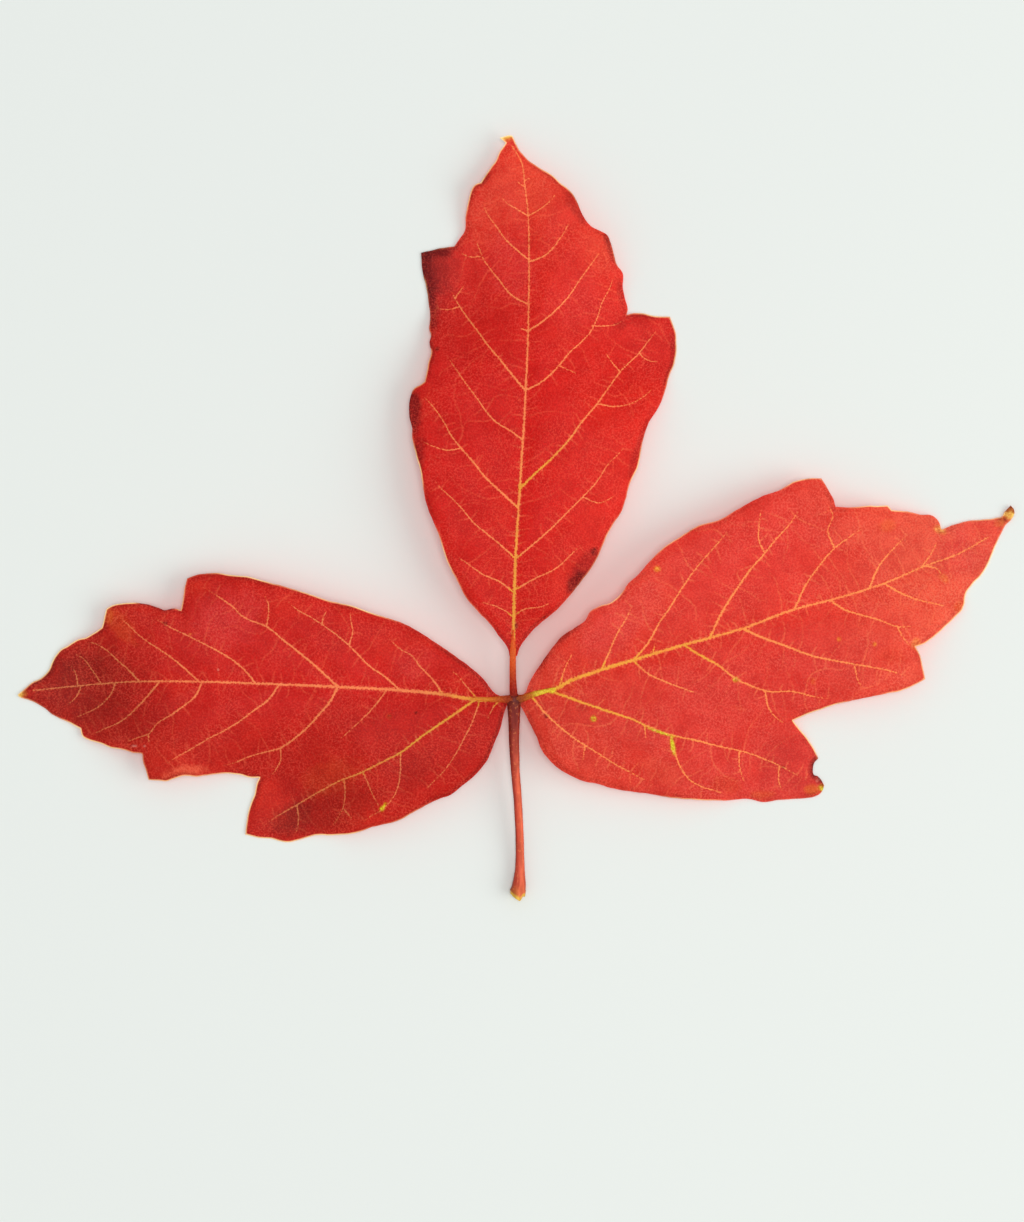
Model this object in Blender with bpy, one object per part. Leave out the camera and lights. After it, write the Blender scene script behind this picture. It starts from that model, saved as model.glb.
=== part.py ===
"""A trifoliate maple leaf, lying face up on a flat surface: three toothed leaflets on one stalk.

Plan positions are in millimetres from the joint where the leaflets meet the stalk, with +x to
the right and +y towards the tip of the end leaflet. Heights are above the surface it lies on.
"""

import math

import bmesh
import bpy
import numpy as np
from mathutils import Vector
from mathutils.geometry import delaunay_2d_cdt

MM = 0.001

# The joint's place in the model's frame, whose origin is under the middle of the leaf.
JOINT_X, JOINT_Y = -0.25, -21.65

BLADE_THICKNESS = 0.6
NOMINAL_HALF_WIDTH = 16.0
FOLD_RISE = 0.9
MARGIN_WAVE = 0.45
WAVES_PER_SIDE = 2.5

# The ribs that stand out below the blade: half width and depth, at a vein's root and at its end.
MIDRIB_HALF_WIDTH = (0.62, 0.3)
MIDRIB_DEPTH = (0.5, 0.2)
VEIN_HALF_WIDTH = (0.34, 0.26)
VEIN_DEPTH = (0.3, 0.14)
STALKLET_CROWN = 0.22
# Above, the blade dips along each vein by this share of the rib's depth below.
GROOVE_SHARE = 0.4

# Each leaflet touches the surface at its rest spots, which are flat out to the first radius.
REST_FLAT_RADIUS = 2.4
REST_BLEND_RADIUS = 15.0

MARGIN_STEP = 1.3
RIB_STEP = 2.4
GRID_STEP = 2.3
GRID_CLEAR_OF_MARGIN = 0.9
GRID_CLEAR_OF_RIB = 1.05
VEIN_CLEAR_OF_MIDRIB = 0.95
VEIN_CLEAR_OF_MARGIN = 1.0

# A margin is a list of runs. Each run starts at a sharp corner, a tooth or a notch, and curves
# through its other points to the corner that starts the next run.
END_LEAFLET = {
    "margin": [
        [(0.35, 1.2), (0.25, 3.5), (0.35, 6.0), (1.9, 7.9), (4.3, 9.8), (7.9, 13.6),
         (10.1, 17.3), (11.9, 21.6), (13.7, 25.2), (15.1, 29.2), (15.6, 31.8), (17.5, 36.0),
         (18.7, 38.5), (19.6, 42.2), (19.3, 45.2)],
        [(18.8, 46.2), (16.8, 46.4), (15.0, 46.7)],
        [(13.6, 46.6), (13.6, 47.6), (13.1, 49.7), (13.2, 50.8), (12.6, 51.8), (11.9, 54.0),
         (11.1, 55.8), (9.2, 56.9), (8.0, 58.8), (7.0, 60.9), (5.5, 62.2), (4.3, 63.4),
         (1.6, 65.0), (0.5, 66.2)],
        [(-0.3, 67.9)],
        [(-1.7, 67.7)],
        [(-1.2, 67.0), (-2.2, 65.0), (-3.4, 63.2)],
        [(-4.0, 62.3), (-4.8, 62.0), (-5.3, 61.0), (-5.8, 58.6), (-6.0, 56.6), (-6.6, 55.7)],
        [(-7.4, 54.8), (-9.3, 54.7)],
        [(-11.2, 54.0), (-10.6, 50.0), (-10.3, 47.0), (-10.4, 44.6), (-10.1, 43.5),
         (-10.1, 41.4)],
        [(-10.7, 38.4), (-12.0, 37.4), (-12.6, 35.4), (-12.6, 33.4)],
        [(-12.3, 32.6), (-12.1, 30.6), (-11.2, 26.6), (-10.5, 24.0), (-9.4, 21.0),
         (-8.3, 17.6), (-6.8, 14.4), (-5.1, 11.8), (-2.9, 9.5), (-1.4, 7.3), (-0.6, 5.6),
         (-0.55, 3.5)],
        [(-0.65, 1.2)],
    ],
    "midrib": [(-0.15, 1.2), (-0.15, 3.5), (-0.1, 6.0), (0.2, 17.3), (0.7, 25.4), (1.4, 37.0),
               (1.7, 44.4), (1.8, 52.6), (1.7, 58.2), (1.3, 61.8), (0.9, 64.6), (-0.2, 66.6)],
    "veins": [
        [(0.0, 12.9), (-2.0, 14.4), (-4.3, 15.4), (-6.4, 17.2)],
        [(0.1, 17.0), (-1.7, 18.6), (-4.1, 20.4), (-7.1, 23.4), (-9.2, 26.4)],
        [(0.5, 23.0), (-2.9, 26.4), (-5.9, 29.8), (-8.0, 33.0), (-10.1, 36.4)],
        [(1.0, 31.2), (-2.3, 33.6), (-4.7, 36.5), (-7.1, 39.6), (-8.8, 42.0)],
        [(1.3, 37.0), (-0.5, 39.0), (-2.9, 42.2), (-5.3, 45.4), (-7.2, 48.2), (-8.9, 51.6)],
        [(1.6, 47.5), (-0.5, 48.6), (-2.9, 51.8), (-4.2, 53.6), (-4.8, 55.6)],
        [(1.8, 52.6), (-0.5, 54.8), (-2.3, 57.4), (-3.7, 60.0)],
        [(1.7, 58.3), (0.0, 59.2), (-1.7, 60.6)],
        [(0.0, 10.4), (1.9, 11.0), (4.2, 11.8)],
        [(0.1, 13.1), (3.1, 15.0), (5.3, 16.0), (8.0, 18.8)],
        [(0.2, 17.2), (3.1, 19.8), (5.8, 22.2), (8.5, 24.8), (11.5, 29.0), (13.2, 31.6)],
        [(0.7, 25.2), (3.1, 27.5), (6.7, 31.6), (10.3, 36.0), (13.9, 40.6), (16.3, 43.2)],
        [(1.4, 37.0), (4.3, 39.2), (7.9, 42.7), (9.5, 45.0), (10.7, 48.0), (11.8, 51.0)],
        [(1.7, 44.2), (4.3, 46.2), (6.7, 48.7), (8.5, 51.6), (10.2, 54.2)],
        [(1.8, 52.5), (4.3, 54.0), (6.1, 56.4)],
        [(1.7, 58.1), (3.6, 59.4), (4.9, 60.8)],
    ],
    "rest_spots": [(17.0, 44.0), (-9.3, 51.6)],
    "base_lift": 3.5,
    "tip_lift": 1.6,
    "arch": 2.3,
    "droop": {"left": 2.9, "right": 2.0},
    "wave_phase": 0.1,
}

LEFT_LEAFLET = {
    "margin": [
        [(-1.15, 0.4), (-2.2, 0.8), (-4.1, 3.1), (-5.9, 4.3), (-7.9, 6.0), (-10.1, 7.7),
         (-12.5, 9.0), (-14.9, 9.8), (-20.9, 11.5), (-26.9, 13.4), (-32.9, 14.9),
         (-36.5, 15.2)],
        [(-39.4, 14.5), (-39.7, 13.0)],
        [(-40.0, 10.9), (-41.9, 10.8), (-43.7, 11.4), (-45.5, 11.6)],
        [(-48.8, 11.0), (-49.2, 10.0)],
        [(-49.6, 8.8), (-51.1, 7.8), (-53.3, 6.8), (-54.7, 5.9), (-55.7, 4.4), (-56.5, 3.2),
         (-58.3, 1.7)],
        [(-59.9, 0.6)],
        [(-59.6, 0.2), (-58.1, -0.4), (-55.4, -2.0), (-53.8, -2.8)],
        [(-52.4, -3.5), (-52.0, -4.4), (-51.1, -4.9), (-47.5, -6.0)],
        [(-44.8, -6.5), (-44.5, -7.8)],
        [(-43.9, -9.6), (-42.5, -9.8), (-41.0, -9.6), (-39.5, -9.1), (-35.0, -8.9)],
        [(-30.8, -9.4), (-31.5, -11.8), (-32.2, -14.2)],
        [(-32.4, -16.3), (-30.7, -16.8), (-27.5, -17.2), (-25.1, -16.7), (-21.8, -16.5),
         (-19.1, -16.0), (-16.1, -15.1), (-13.7, -14.4), (-11.3, -13.1), (-8.9, -11.8),
         (-7.4, -11.3), (-5.5, -10.0), (-3.7, -8.2), (-2.5, -5.9), (-1.7, -3.5),
         (-1.25, -1.7)],
        [(-1.15, -0.35)],
    ],
    "midrib": [(-1.15, 0.05), (-4.7, 0.1), (-8.4, 0.7), (-13.9, 1.2), (-21.2, 1.6),
               (-31.0, 2.0), (-37.7, 2.2), (-44.9, 2.2), (-52.1, 1.7), (-58.0, 1.1)],
    "veins": [
        [(-4.6, 0.1), (-7.7, -1.9), (-11.3, -4.6), (-13.4, -6.1), (-17.3, -7.8),
         (-20.9, -9.6), (-24.5, -11.6), (-28.7, -13.8)],
        [(-3.6, 0.1), (-5.3, -3.0), (-7.1, -6.2), (-9.5, -9.4), (-11.2, -11.4)],
        [(-15.6, 1.3), (-17.3, -1.6), (-20.3, -4.3)],
        [(-21.4, 1.6), (-21.6, 0.4), (-24.5, -3.4), (-28.0, -5.5), (-33.5, -7.6)],
        [(-27.8, 1.9), (-30.5, -0.8), (-34.9, -3.8), (-39.1, -6.4), (-41.3, -7.6)],
        [(-37.6, 2.2), (-38.3, 0.4), (-41.9, -2.2), (-43.9, -4.0)],
        [(-42.8, 2.2), (-44.5, -0.1), (-47.5, -2.6), (-50.2, -4.0)],
        [(-48.0, 2.0), (-48.8, 0.4), (-51.1, -1.3)],
        [(-6.0, 0.3), (-7.6, 2.2), (-9.2, 3.9)],
        [(-8.8, 0.7), (-10.4, 3.4), (-12.1, 5.4), (-14.3, 6.8), (-15.3, 7.9)],
        [(-13.9, 1.2), (-16.1, 3.4), (-19.0, 5.9), (-22.7, 9.1), (-25.7, 11.0)],
        [(-21.0, 1.6), (-23.3, 3.6), (-26.3, 6.2), (-29.5, 8.8), (-33.5, 10.8), (-37.7, 13.6)],
        [(-31.0, 2.0), (-32.3, 3.8), (-35.5, 5.9), (-40.1, 8.3), (-43.0, 10.0)],
        [(-37.7, 2.2), (-39.5, 4.0), (-43.1, 6.5), (-45.5, 8.2), (-47.5, 10.1)],
        [(-44.9, 2.2), (-47.0, 4.3), (-49.7, 6.5)],
        [(-49.7, 2.0), (-50.9, 3.6), (-52.3, 4.8)],
    ],
    "rest_spots": [(-55.6, 1.6), (-29.6, -14.2)],
    "base_lift": 3.5,
    "tip_lift": 0.2,
    "arch": 1.7,
    "droop": {"left": 1.6, "right": 1.2},
    "wave_phase": 0.35,
}

RIGHT_LEAFLET = {
    "margin": [
        [(1.15, -0.35), (1.1, -1.3), (1.7, -3.0), (2.4, -4.0), (3.2, -5.9), (4.6, -7.6),
         (6.7, -8.9), (9.1, -10.0), (12.7, -10.9), (16.3, -11.4), (21.1, -12.0),
         (24.7, -12.2), (28.0, -12.0), (30.1, -12.4), (31.9, -12.1), (34.9, -11.9),
         (36.4, -11.7)],
        [(37.3, -10.4)],
        [(36.2, -9.9), (36.2, -8.0)],
        [(36.7, -7.1), (36.5, -6.2), (35.8, -5.2), (34.7, -4.0)],
        [(33.6, -2.5), (35.3, -1.9), (37.7, -1.1), (40.3, -0.1), (42.7, 0.4), (46.6, 1.1)],
        [(49.3, 2.5), (49.1, 4.0), (48.8, 5.3)],
        [(48.4, 6.5), (49.9, 7.3), (51.7, 8.6), (53.9, 10.7), (54.4, 11.6), (55.3, 13.7),
         (56.5, 15.2), (57.5, 17.0), (58.7, 19.7)],
        [(60.4, 22.7)],
        [(59.9, 23.5), (59.3, 22.7)],
        [(58.7, 22.0), (56.5, 21.7), (54.1, 21.4)],
        [(51.6, 20.5), (51.3, 21.4), (50.6, 22.0), (46.9, 22.7)],
        [(45.5, 22.8), (44.9, 23.3), (43.3, 23.3), (40.9, 23.0)],
        [(38.5, 23.3), (37.8, 25.0)],
        [(37.0, 26.6), (35.5, 26.6), (33.7, 26.2), (31.3, 25.0), (28.9, 24.0), (24.1, 21.5),
         (21.7, 20.6), (17.8, 18.1), (16.3, 16.8), (15.1, 15.0), (13.3, 13.6), (12.2, 12.1),
         (10.3, 11.4), (9.1, 10.6), (7.9, 9.1), (5.8, 7.4), (4.1, 5.8), (2.9, 4.0),
         (1.9, 2.0)],
        [(1.15, 0.5)],
    ],
    "midrib": [(1.15, 0.1), (2.5, 0.8), (4.6, 1.2), (6.7, 2.3), (10.3, 3.6), (14.2, 4.8),
               (20.2, 6.6), (27.1, 8.5), (33.7, 10.9), (37.9, 12.0), (44.5, 14.0),
               (49.3, 16.0), (54.1, 17.8), (57.2, 19.6)],
    "veins": [
        [(4.6, 1.2), (8.5, -0.2), (12.7, -1.9), (19.0, -4.2), (24.1, -5.5), (28.9, -6.8),
         (32.6, -8.0), (35.2, -9.4)],
        [(1.9, 0.4), (3.7, -1.4), (6.7, -4.0), (10.3, -6.4), (14.5, -9.1)],
        [(14.2, 4.8), (15.7, 3.4), (19.3, 1.8), (22.3, 0.7)],
        [(20.4, 6.6), (23.5, 4.8), (27.1, 2.4), (29.8, 1.2), (34.3, 0.7), (38.0, 0.4)],
        [(27.5, 8.6), (31.9, 6.8), (36.7, 5.4), (41.5, 4.2), (47.6, 2.9)],
        [(37.8, 12.0), (39.1, 11.0), (42.7, 10.0), (46.0, 8.8), (47.0, 7.0)],
        [(44.4, 14.0), (47.5, 12.6), (51.1, 11.5), (53.0, 11.1)],
        [(5.2, 1.5), (6.0, 3.2), (7.3, 5.8)],
        [(10.4, 3.7), (11.9, 6.8), (13.3, 10.0)],
        [(14.6, 5.0), (16.6, 8.2), (18.7, 12.0), (22.3, 17.0)],
        [(23.6, 7.6), (25.3, 10.8), (28.9, 16.6), (32.5, 21.0), (34.3, 23.6)],
        [(33.6, 10.9), (35.5, 14.6), (37.7, 17.6), (37.9, 20.6)],
        [(42.6, 13.6), (43.6, 15.4), (45.7, 18.0), (47.3, 19.7)],
    ],
    "rest_spots": [(55.2, 17.6), (33.6, -9.8)],
    "base_lift": 3.5,
    "tip_lift": 0.2,
    "arch": 2.2,
    "droop": {"left": 0.6, "right": 1.9},
    "wave_phase": 0.7,
}

# The stalk's centre line from its rounded top, in the joint, to its torn lower end: (x, y,
# height, radius).
STALK_STATIONS = [
    (0.0, 0.82, 3.75, 0.3), (0.0, 0.65, 3.75, 0.58), (0.0, 0.35, 3.75, 0.78),
    (0.0, -0.1, 3.73, 0.84), (0.0, -0.9, 3.66, 0.78), (0.0, -2.4, 3.48, 0.7),
    (0.0, -4.8, 3.15, 0.61), (0.15, -8.4, 2.6, 0.54), (0.45, -12.0, 2.06, 0.5),
    (0.65, -15.6, 1.55, 0.49), (0.72, -18.6, 1.18, 0.51), (0.7, -20.6, 1.0, 0.6),
    (0.62, -22.2, 0.93, 0.8), (0.5, -23.4, 0.95, 0.95), (0.46, -24.6, 0.95, 0.9),
]
STALK_SIDES_RESOLUTION = 4
TEAR_TILT_DEG = 24.0
TEAR_PLACE = (0.35, -24.75)
TEAR_NOTCH_PLACE = (1.0, -24.3)
TEAR_NOTCH_SIDE = 0.55

COLOURS = {
    "leaflet_end": (0.66, 0.035, 0.022),
    "leaflet_left": (0.52, 0.032, 0.02),
    "leaflet_right": (0.76, 0.075, 0.042),
    "petiole": (0.36, 0.045, 0.022),
}
BLADE_ROUGHNESS = 0.55
STALK_ROUGHNESS = 0.5
SMOOTH_BELOW_DEG = 40.0


def curve_through(points, step):
    """Points about a step apart along the smooth curve through the given ones."""
    given = np.array(points, float)
    legs = np.diff(given, axis=0)
    lengths = np.linalg.norm(legs, axis=1)
    slopes = legs / lengths[:, None]
    shares = (lengths[:-1] / (lengths[:-1] + lengths[1:]))[:, None]
    inner = slopes[:-1] * (1 - shares) + slopes[1:] * shares
    tangents = np.vstack([slopes[:1], inner, slopes[-1:]])
    made = []
    for i, length in enumerate(lengths):
        count = max(1, round(length / step))
        t = (np.arange(count) / count)[:, None]
        made.append(
            (1 + 2 * t) * (1 - t) ** 2 * given[i]
            + t * (1 - t) ** 2 * length * tangents[i]
            + t**2 * (3 - 2 * t) * given[i + 1]
            + t**2 * (t - 1) * length * tangents[i + 1]
        )
    return np.vstack([*made, given[-1:]])


def margin_line(runs, step):
    """The closed margin through every run, as points."""
    following = runs[1:] + runs[:1]
    return np.vstack(
        [curve_through([*run, after[0]], step)[:-1] for run, after in zip(runs, following)]
    )


def nearest(points, line):
    """Each point's distance from the line, the share of the line before that, and its side."""
    legs = np.diff(line, axis=0)
    lengths = np.linalg.norm(legs, axis=1)
    starts = np.concatenate([[0.0], np.cumsum(lengths)])
    distance = np.full(len(points), np.inf)
    along = np.zeros(len(points))
    side = np.ones(len(points))
    for start, leg, length, before in zip(line, legs, lengths, starts):
        offset = points - start
        t = np.clip(offset @ leg / length**2, 0, 1)
        here = np.linalg.norm(offset - t[:, None] * leg, axis=1)
        closer = here < distance
        distance[closer] = here[closer]
        along[closer] = (before + t[closer] * length) / starts[-1]
        turn = leg[0] * offset[:, 1] - leg[1] * offset[:, 0]
        side[closer] = np.sign(turn[closer])
    return distance, along, side


def inside(points, ring):
    """Whether each point lies inside the closed ring."""
    found = np.zeros(len(points), bool)
    x, y = points.T
    for (x0, y0), (x1, y1) in zip(ring, np.roll(ring, -1, axis=0)):
        if y0 == y1:
            continue
        crosses = (y0 > y) != (y1 > y)
        found ^= crosses & (x < x0 + (y - y0) * (x1 - x0) / (y1 - y0))
    return found


def smoothstep(t):
    t = np.clip(t, 0, 1)
    return t * t * (3 - 2 * t)


def off_surface(leaflet, points):
    """From 0 at a rest spot to 1 well away from it."""
    share = np.ones(len(points))
    for spot in leaflet["rest_spots"]:
        distance = np.linalg.norm(points - np.array(spot), axis=1)
        rise = (distance - REST_FLAT_RADIUS) / (REST_BLEND_RADIUS - REST_FLAT_RADIUS)
        share *= smoothstep(rise)
    return share


def blade_height(leaflet, midrib, points):
    """The height of the blade's underside, without its ribs: an arched leaflet whose halves
    rise from the midrib, then droop and wave towards the margin."""
    distance, along, side = nearest(points, midrib)
    across = distance / NOMINAL_HALF_WIDTH
    droop = np.where(side > 0, leaflet["droop"]["left"], leaflet["droop"]["right"])
    spine = (
        leaflet["base_lift"] * (1 - along)
        + leaflet["tip_lift"] * along
        + 4 * leaflet["arch"] * along * (1 - along)
    )
    wave = np.sin(2 * math.pi * (WAVES_PER_SIDE * along + leaflet["wave_phase"] + 0.25 * side))
    free = (
        spine
        + FOLD_RISE * np.sin(math.pi * np.minimum(across, 1.2))
        - droop * across**2
        + MARGIN_WAVE * wave * across
    )
    return np.maximum(free, 0.15) * off_surface(leaflet, points)


def rib_depth(points, line, half_widths, depths):
    """How far one rib stands out below the blade at each point."""
    distance, along, _ = nearest(points, line)
    half_width = half_widths[0] + (half_widths[1] - half_widths[0]) * along
    depth = depths[0] + (depths[1] - depths[0]) * along
    return depth * np.clip(1.25 - 1.25 * distance / half_width, 0, 1)


def ribs_below(leaflet, midrib, points):
    """How far the deepest rib stands out below the blade at each point."""
    depth = rib_depth(points, midrib, MIDRIB_HALF_WIDTH, MIDRIB_DEPTH)
    for vein in leaflet["veins"]:
        line = curve_through(vein, RIB_STEP)
        depth = np.maximum(depth, rib_depth(points, line, VEIN_HALF_WIDTH, VEIN_DEPTH))
    return depth


def offset_rows(line, half_widths):
    """The line's crest, and the two feet beside it, as three rows of points."""
    tangents = np.gradient(line, axis=0)
    tangents /= np.linalg.norm(tangents, axis=1)[:, None]
    normals = np.column_stack([-tangents[:, 1], tangents[:, 0]])
    widths = np.linspace(*half_widths, len(line))[:, None]
    return [line, line + normals * widths, line - normals * widths]


def clear_part(line, margin, midrib):
    """The stretch of a vein between the midrib's foot and the margin."""
    far_in = nearest(line, np.vstack([margin, margin[:1]]))[0] > VEIN_CLEAR_OF_MARGIN
    off_midrib = nearest(line, midrib)[0] > VEIN_CLEAR_OF_MIDRIB
    return line[far_in & off_midrib]


def hexagonal_grid(low, high, step):
    """Points of a hexagonal grid over the box."""
    row_step = step * math.sqrt(3) / 2
    rows = np.arange(low[1], high[1], row_step)
    columns = np.arange(low[0], high[0], step)
    return np.array(
        [(x + (step / 2 if i % 2 else 0), y) for i, y in enumerate(rows) for x in columns]
    )


def flat_sheet(leaflet, margin, midrib):
    """The leaflet's plan as triangles, with rows of points along its ribs: points and faces."""
    loops = [(margin, True)]
    keep_off = [midrib]
    crest = midrib[1:-1]
    neck_end = 3
    crest_rows = offset_rows(crest, MIDRIB_HALF_WIDTH)
    loops += [(crest, False)] + [(row[neck_end:], False) for row in crest_rows[1:]]
    for vein in leaflet["veins"]:
        line = clear_part(curve_through(vein, RIB_STEP), margin, midrib)
        if len(line) < 2:
            continue
        keep_off.append(line)
        loops += [(row, False) for row in offset_rows(line, VEIN_HALF_WIDTH)]
    corner_angles = np.arange(6) * math.pi / 3
    ring = REST_FLAT_RADIUS * np.column_stack([np.cos(corner_angles), np.sin(corner_angles)])
    spots = [np.array(spot) + ring * 0.95 for spot in leaflet["rest_spots"]]

    grid = hexagonal_grid(margin.min(axis=0), margin.max(axis=0), GRID_STEP)
    extra = np.vstack([grid, *spots])
    closed_margin = np.vstack([margin, margin[:1]])
    keep = inside(extra, margin) & (nearest(extra, closed_margin)[0] > GRID_CLEAR_OF_MARGIN)
    for line in keep_off:
        keep &= nearest(extra, line)[0] > GRID_CLEAR_OF_RIB
    extra = extra[keep]

    points, edges = [], []
    for line, is_closed in loops:
        first = len(points)
        points += [Vector(p) for p in line]
        last = len(points) - 1
        edges += [(i, i + 1) for i in range(first, last)]
        if is_closed:
            edges.append((last, first))
    points += [Vector(p) for p in extra]
    made = delaunay_2d_cdt(points, edges, [], 1, 1e-5)
    return np.array([tuple(p) for p in made[0]]), made[2]


def build_leaflet(name, leaflet):
    """One leaflet: its plan raised into an arched blade, thick enough for its ribs below."""
    margin = margin_line(leaflet["margin"], MARGIN_STEP)
    midrib = curve_through(leaflet["midrib"], RIB_STEP)
    plan, faces = flat_sheet(leaflet, margin, midrib)
    height = blade_height(leaflet, midrib, plan)
    off = off_surface(leaflet, plan)
    ribs = ribs_below(leaflet, midrib, plan) * off
    below = height - ribs
    neck = smoothstep(1 - nearest(plan, midrib[:3])[0] / MIDRIB_HALF_WIDTH[0])
    above = height + BLADE_THICKNESS + STALKLET_CROWN * neck - GROOVE_SHARE * ribs

    sheet = bmesh.new()
    corners = [sheet.verts.new((x, y, 0)) for x, y in plan * MM]
    for face in faces:
        sheet.faces.new([corners[i] for i in face])
    raised = bmesh.ops.extrude_face_region(sheet, geom=sheet.faces[:])["geom"]
    tops = [v for v in raised if isinstance(v, bmesh.types.BMVert)]
    place = {(round(v.co.x, 9), round(v.co.y, 9)): i for i, v in enumerate(corners)}
    for top in tops:
        top.co.z = above[place[round(top.co.x, 9), round(top.co.y, 9)]] * MM
    for corner, z in zip(corners, np.maximum(below, 0)):
        corner.co.z = z * MM
    bmesh.ops.recalc_face_normals(sheet, faces=sheet.faces[:])
    mesh = bpy.data.meshes.new(name)
    sheet.to_mesh(mesh)
    sheet.free()
    return bpy.data.objects.new(name, mesh)


def build_stalk():
    """The stalk as a tapered tube, with its flared lower end torn off at a slant."""
    curve = bpy.data.curves.new("petiole_line", "CURVE")
    curve.dimensions = "3D"
    curve.bevel_depth = MM
    curve.bevel_resolution = STALK_SIDES_RESOLUTION
    curve.use_fill_caps = True
    spline = curve.splines.new("POLY")
    spline.points.add(len(STALK_STATIONS) - 1)
    for point, (x, y, z, radius) in zip(spline.points, STALK_STATIONS):
        point.co = (x * MM, y * MM, z * MM, 1)
        point.radius = radius
    drawn = bpy.data.objects.new("petiole_line", curve)
    bpy.context.scene.collection.objects.link(drawn)
    graph = bpy.context.evaluated_depsgraph_get()
    mesh = bpy.data.meshes.new_from_object(drawn.evaluated_get(graph))
    bpy.data.objects.remove(drawn)
    welded = bmesh.new()
    welded.from_mesh(mesh)
    bmesh.ops.remove_doubles(welded, verts=welded.verts[:], dist=0.001 * MM)
    bmesh.ops.recalc_face_normals(welded, faces=welded.faces[:])
    welded.to_mesh(mesh)
    welded.free()
    return bpy.data.objects.new("petiole", mesh)


def cutter(name, place, side, turn_deg):
    """An upright block that cuts the stalk's end, one of its corners or faces forward."""
    bpy.ops.mesh.primitive_cube_add(size=1)
    block = bpy.context.active_object
    block.name = name
    block.location = (place[0] * MM, place[1] * MM, MM)
    block.rotation_euler.z = math.radians(turn_deg)
    block.scale = (side * MM, side * MM, 4 * MM)
    block.hide_render = True
    block.display_type = "WIRE"
    return block


def tear_end(stalk, cutters):
    """Slants the stalk's lower end and nicks it, as where it tore from the twig."""
    slant_side = 4.0
    slant_place = (TEAR_PLACE[0], TEAR_PLACE[1] - slant_side / 2)
    blocks = [
        cutter("tear_slant", slant_place, slant_side, TEAR_TILT_DEG),
        cutter("tear_notch", TEAR_NOTCH_PLACE, TEAR_NOTCH_SIDE, 45.0),
    ]
    for block in blocks:
        for home in block.users_collection:
            home.objects.unlink(block)
        cutters.objects.link(block)
        block.parent = stalk.parent
        cut = stalk.modifiers.new(block.name, "BOOLEAN")
        cut.operation = "DIFFERENCE"
        cut.object = block


def give_material(piece, roughness):
    material = bpy.data.materials.new(piece.name)
    material.use_nodes = True
    shader = material.node_tree.nodes["Principled BSDF"]
    shader.inputs["Base Color"].default_value = (*COLOURS[piece.name], 1)
    shader.inputs["Roughness"].default_value = roughness
    shader.inputs["Metallic"].default_value = 0
    piece.data.materials.append(material)


def main():
    for old in list(bpy.data.objects):
        bpy.data.objects.remove(old)
    leaf = bpy.data.collections.new("maple_leaf")
    cutters = bpy.data.collections.new("cutters")
    bpy.context.scene.collection.children.link(leaf)
    bpy.context.scene.collection.children.link(cutters)
    joint = bpy.data.objects.new("joint", None)
    joint.location = (JOINT_X * MM, JOINT_Y * MM, 0)
    leaf.objects.link(joint)

    leaflets = {
        "leaflet_end": END_LEAFLET,
        "leaflet_left": LEFT_LEAFLET,
        "leaflet_right": RIGHT_LEAFLET,
    }
    pieces = [build_leaflet(name, leaflet) for name, leaflet in leaflets.items()]
    stalk = build_stalk()
    for piece in [*pieces, stalk]:
        leaf.objects.link(piece)
        piece.parent = joint
        give_material(piece, STALK_ROUGHNESS if piece == stalk else BLADE_ROUGHNESS)
        piece.data.shade_smooth()
        piece.data.set_sharp_from_angle(angle=math.radians(SMOOTH_BELOW_DEG))
    tear_end(stalk, cutters)


main()
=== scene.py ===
"""Looks of a trifoliate maple leaf in autumn red, lying face up on a pale floor.

Plan positions are in millimetres from the joint where the leaflets meet the stalk, with +x to
the right and +y towards the tip of the end leaflet. Heights are above the floor.
"""

import math
import random

import bpy
import numpy as np
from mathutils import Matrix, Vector, kdtree, noise
from mathutils.geometry import delaunay_2d_cdt


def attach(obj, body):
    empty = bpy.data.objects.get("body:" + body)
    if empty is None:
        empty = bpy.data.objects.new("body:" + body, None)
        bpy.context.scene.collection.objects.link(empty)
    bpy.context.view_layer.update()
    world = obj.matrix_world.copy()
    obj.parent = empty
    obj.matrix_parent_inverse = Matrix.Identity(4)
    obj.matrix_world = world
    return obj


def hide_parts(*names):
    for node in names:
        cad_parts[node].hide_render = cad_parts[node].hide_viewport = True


MM = 0.001

# The joint's place in the model's frame.
JOINT = (-0.25, -21.65)

# The picture's size in pixels, the joint's pixel in it, and the millimetres of one pixel.
PICTURE_SIZE = (1024, 1222)
JOINT_PIXEL = (514, 700)
PIXEL = 0.12

# The camera's lens and sensor, and the height above the floor at which that scale holds.
LENS = 130
SENSOR = 36
SCALE_HEIGHT = 3.2

# The room, in metres: each lamp's name, place, size, power and colour, and where they aim.
LAMPS = (
    ("window", (1.0, -0.22, 0.74), 1.0, 7.0, (1.0, 0.995, 0.985)),
    ("ceiling", (0.05, 0.0, 1.5), 0.5, 8.6, (1.0, 1.0, 1.0)),
)
LAMP_AIM = (0, -0.01, 0)
WORLD_STRENGTH = 0.6
FLOOR_REACH = 3.0
FLOOR_LEVEL = -0.00002
FLOOR_COLOURS = ((0.69, 0.725, 0.695, 1), (0.682, 0.716, 0.69, 1))

# The blade's pigment beside the colour that it shows in the room's light.
PIGMENT = np.array([1.0, 0.82, 0.86])

# The plan stays inside the solid leaf's own box: its low and high corner.
PLAN_LOW = (-59.88, -24.58)
PLAN_HIGH = (60.38, 67.88)

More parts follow.
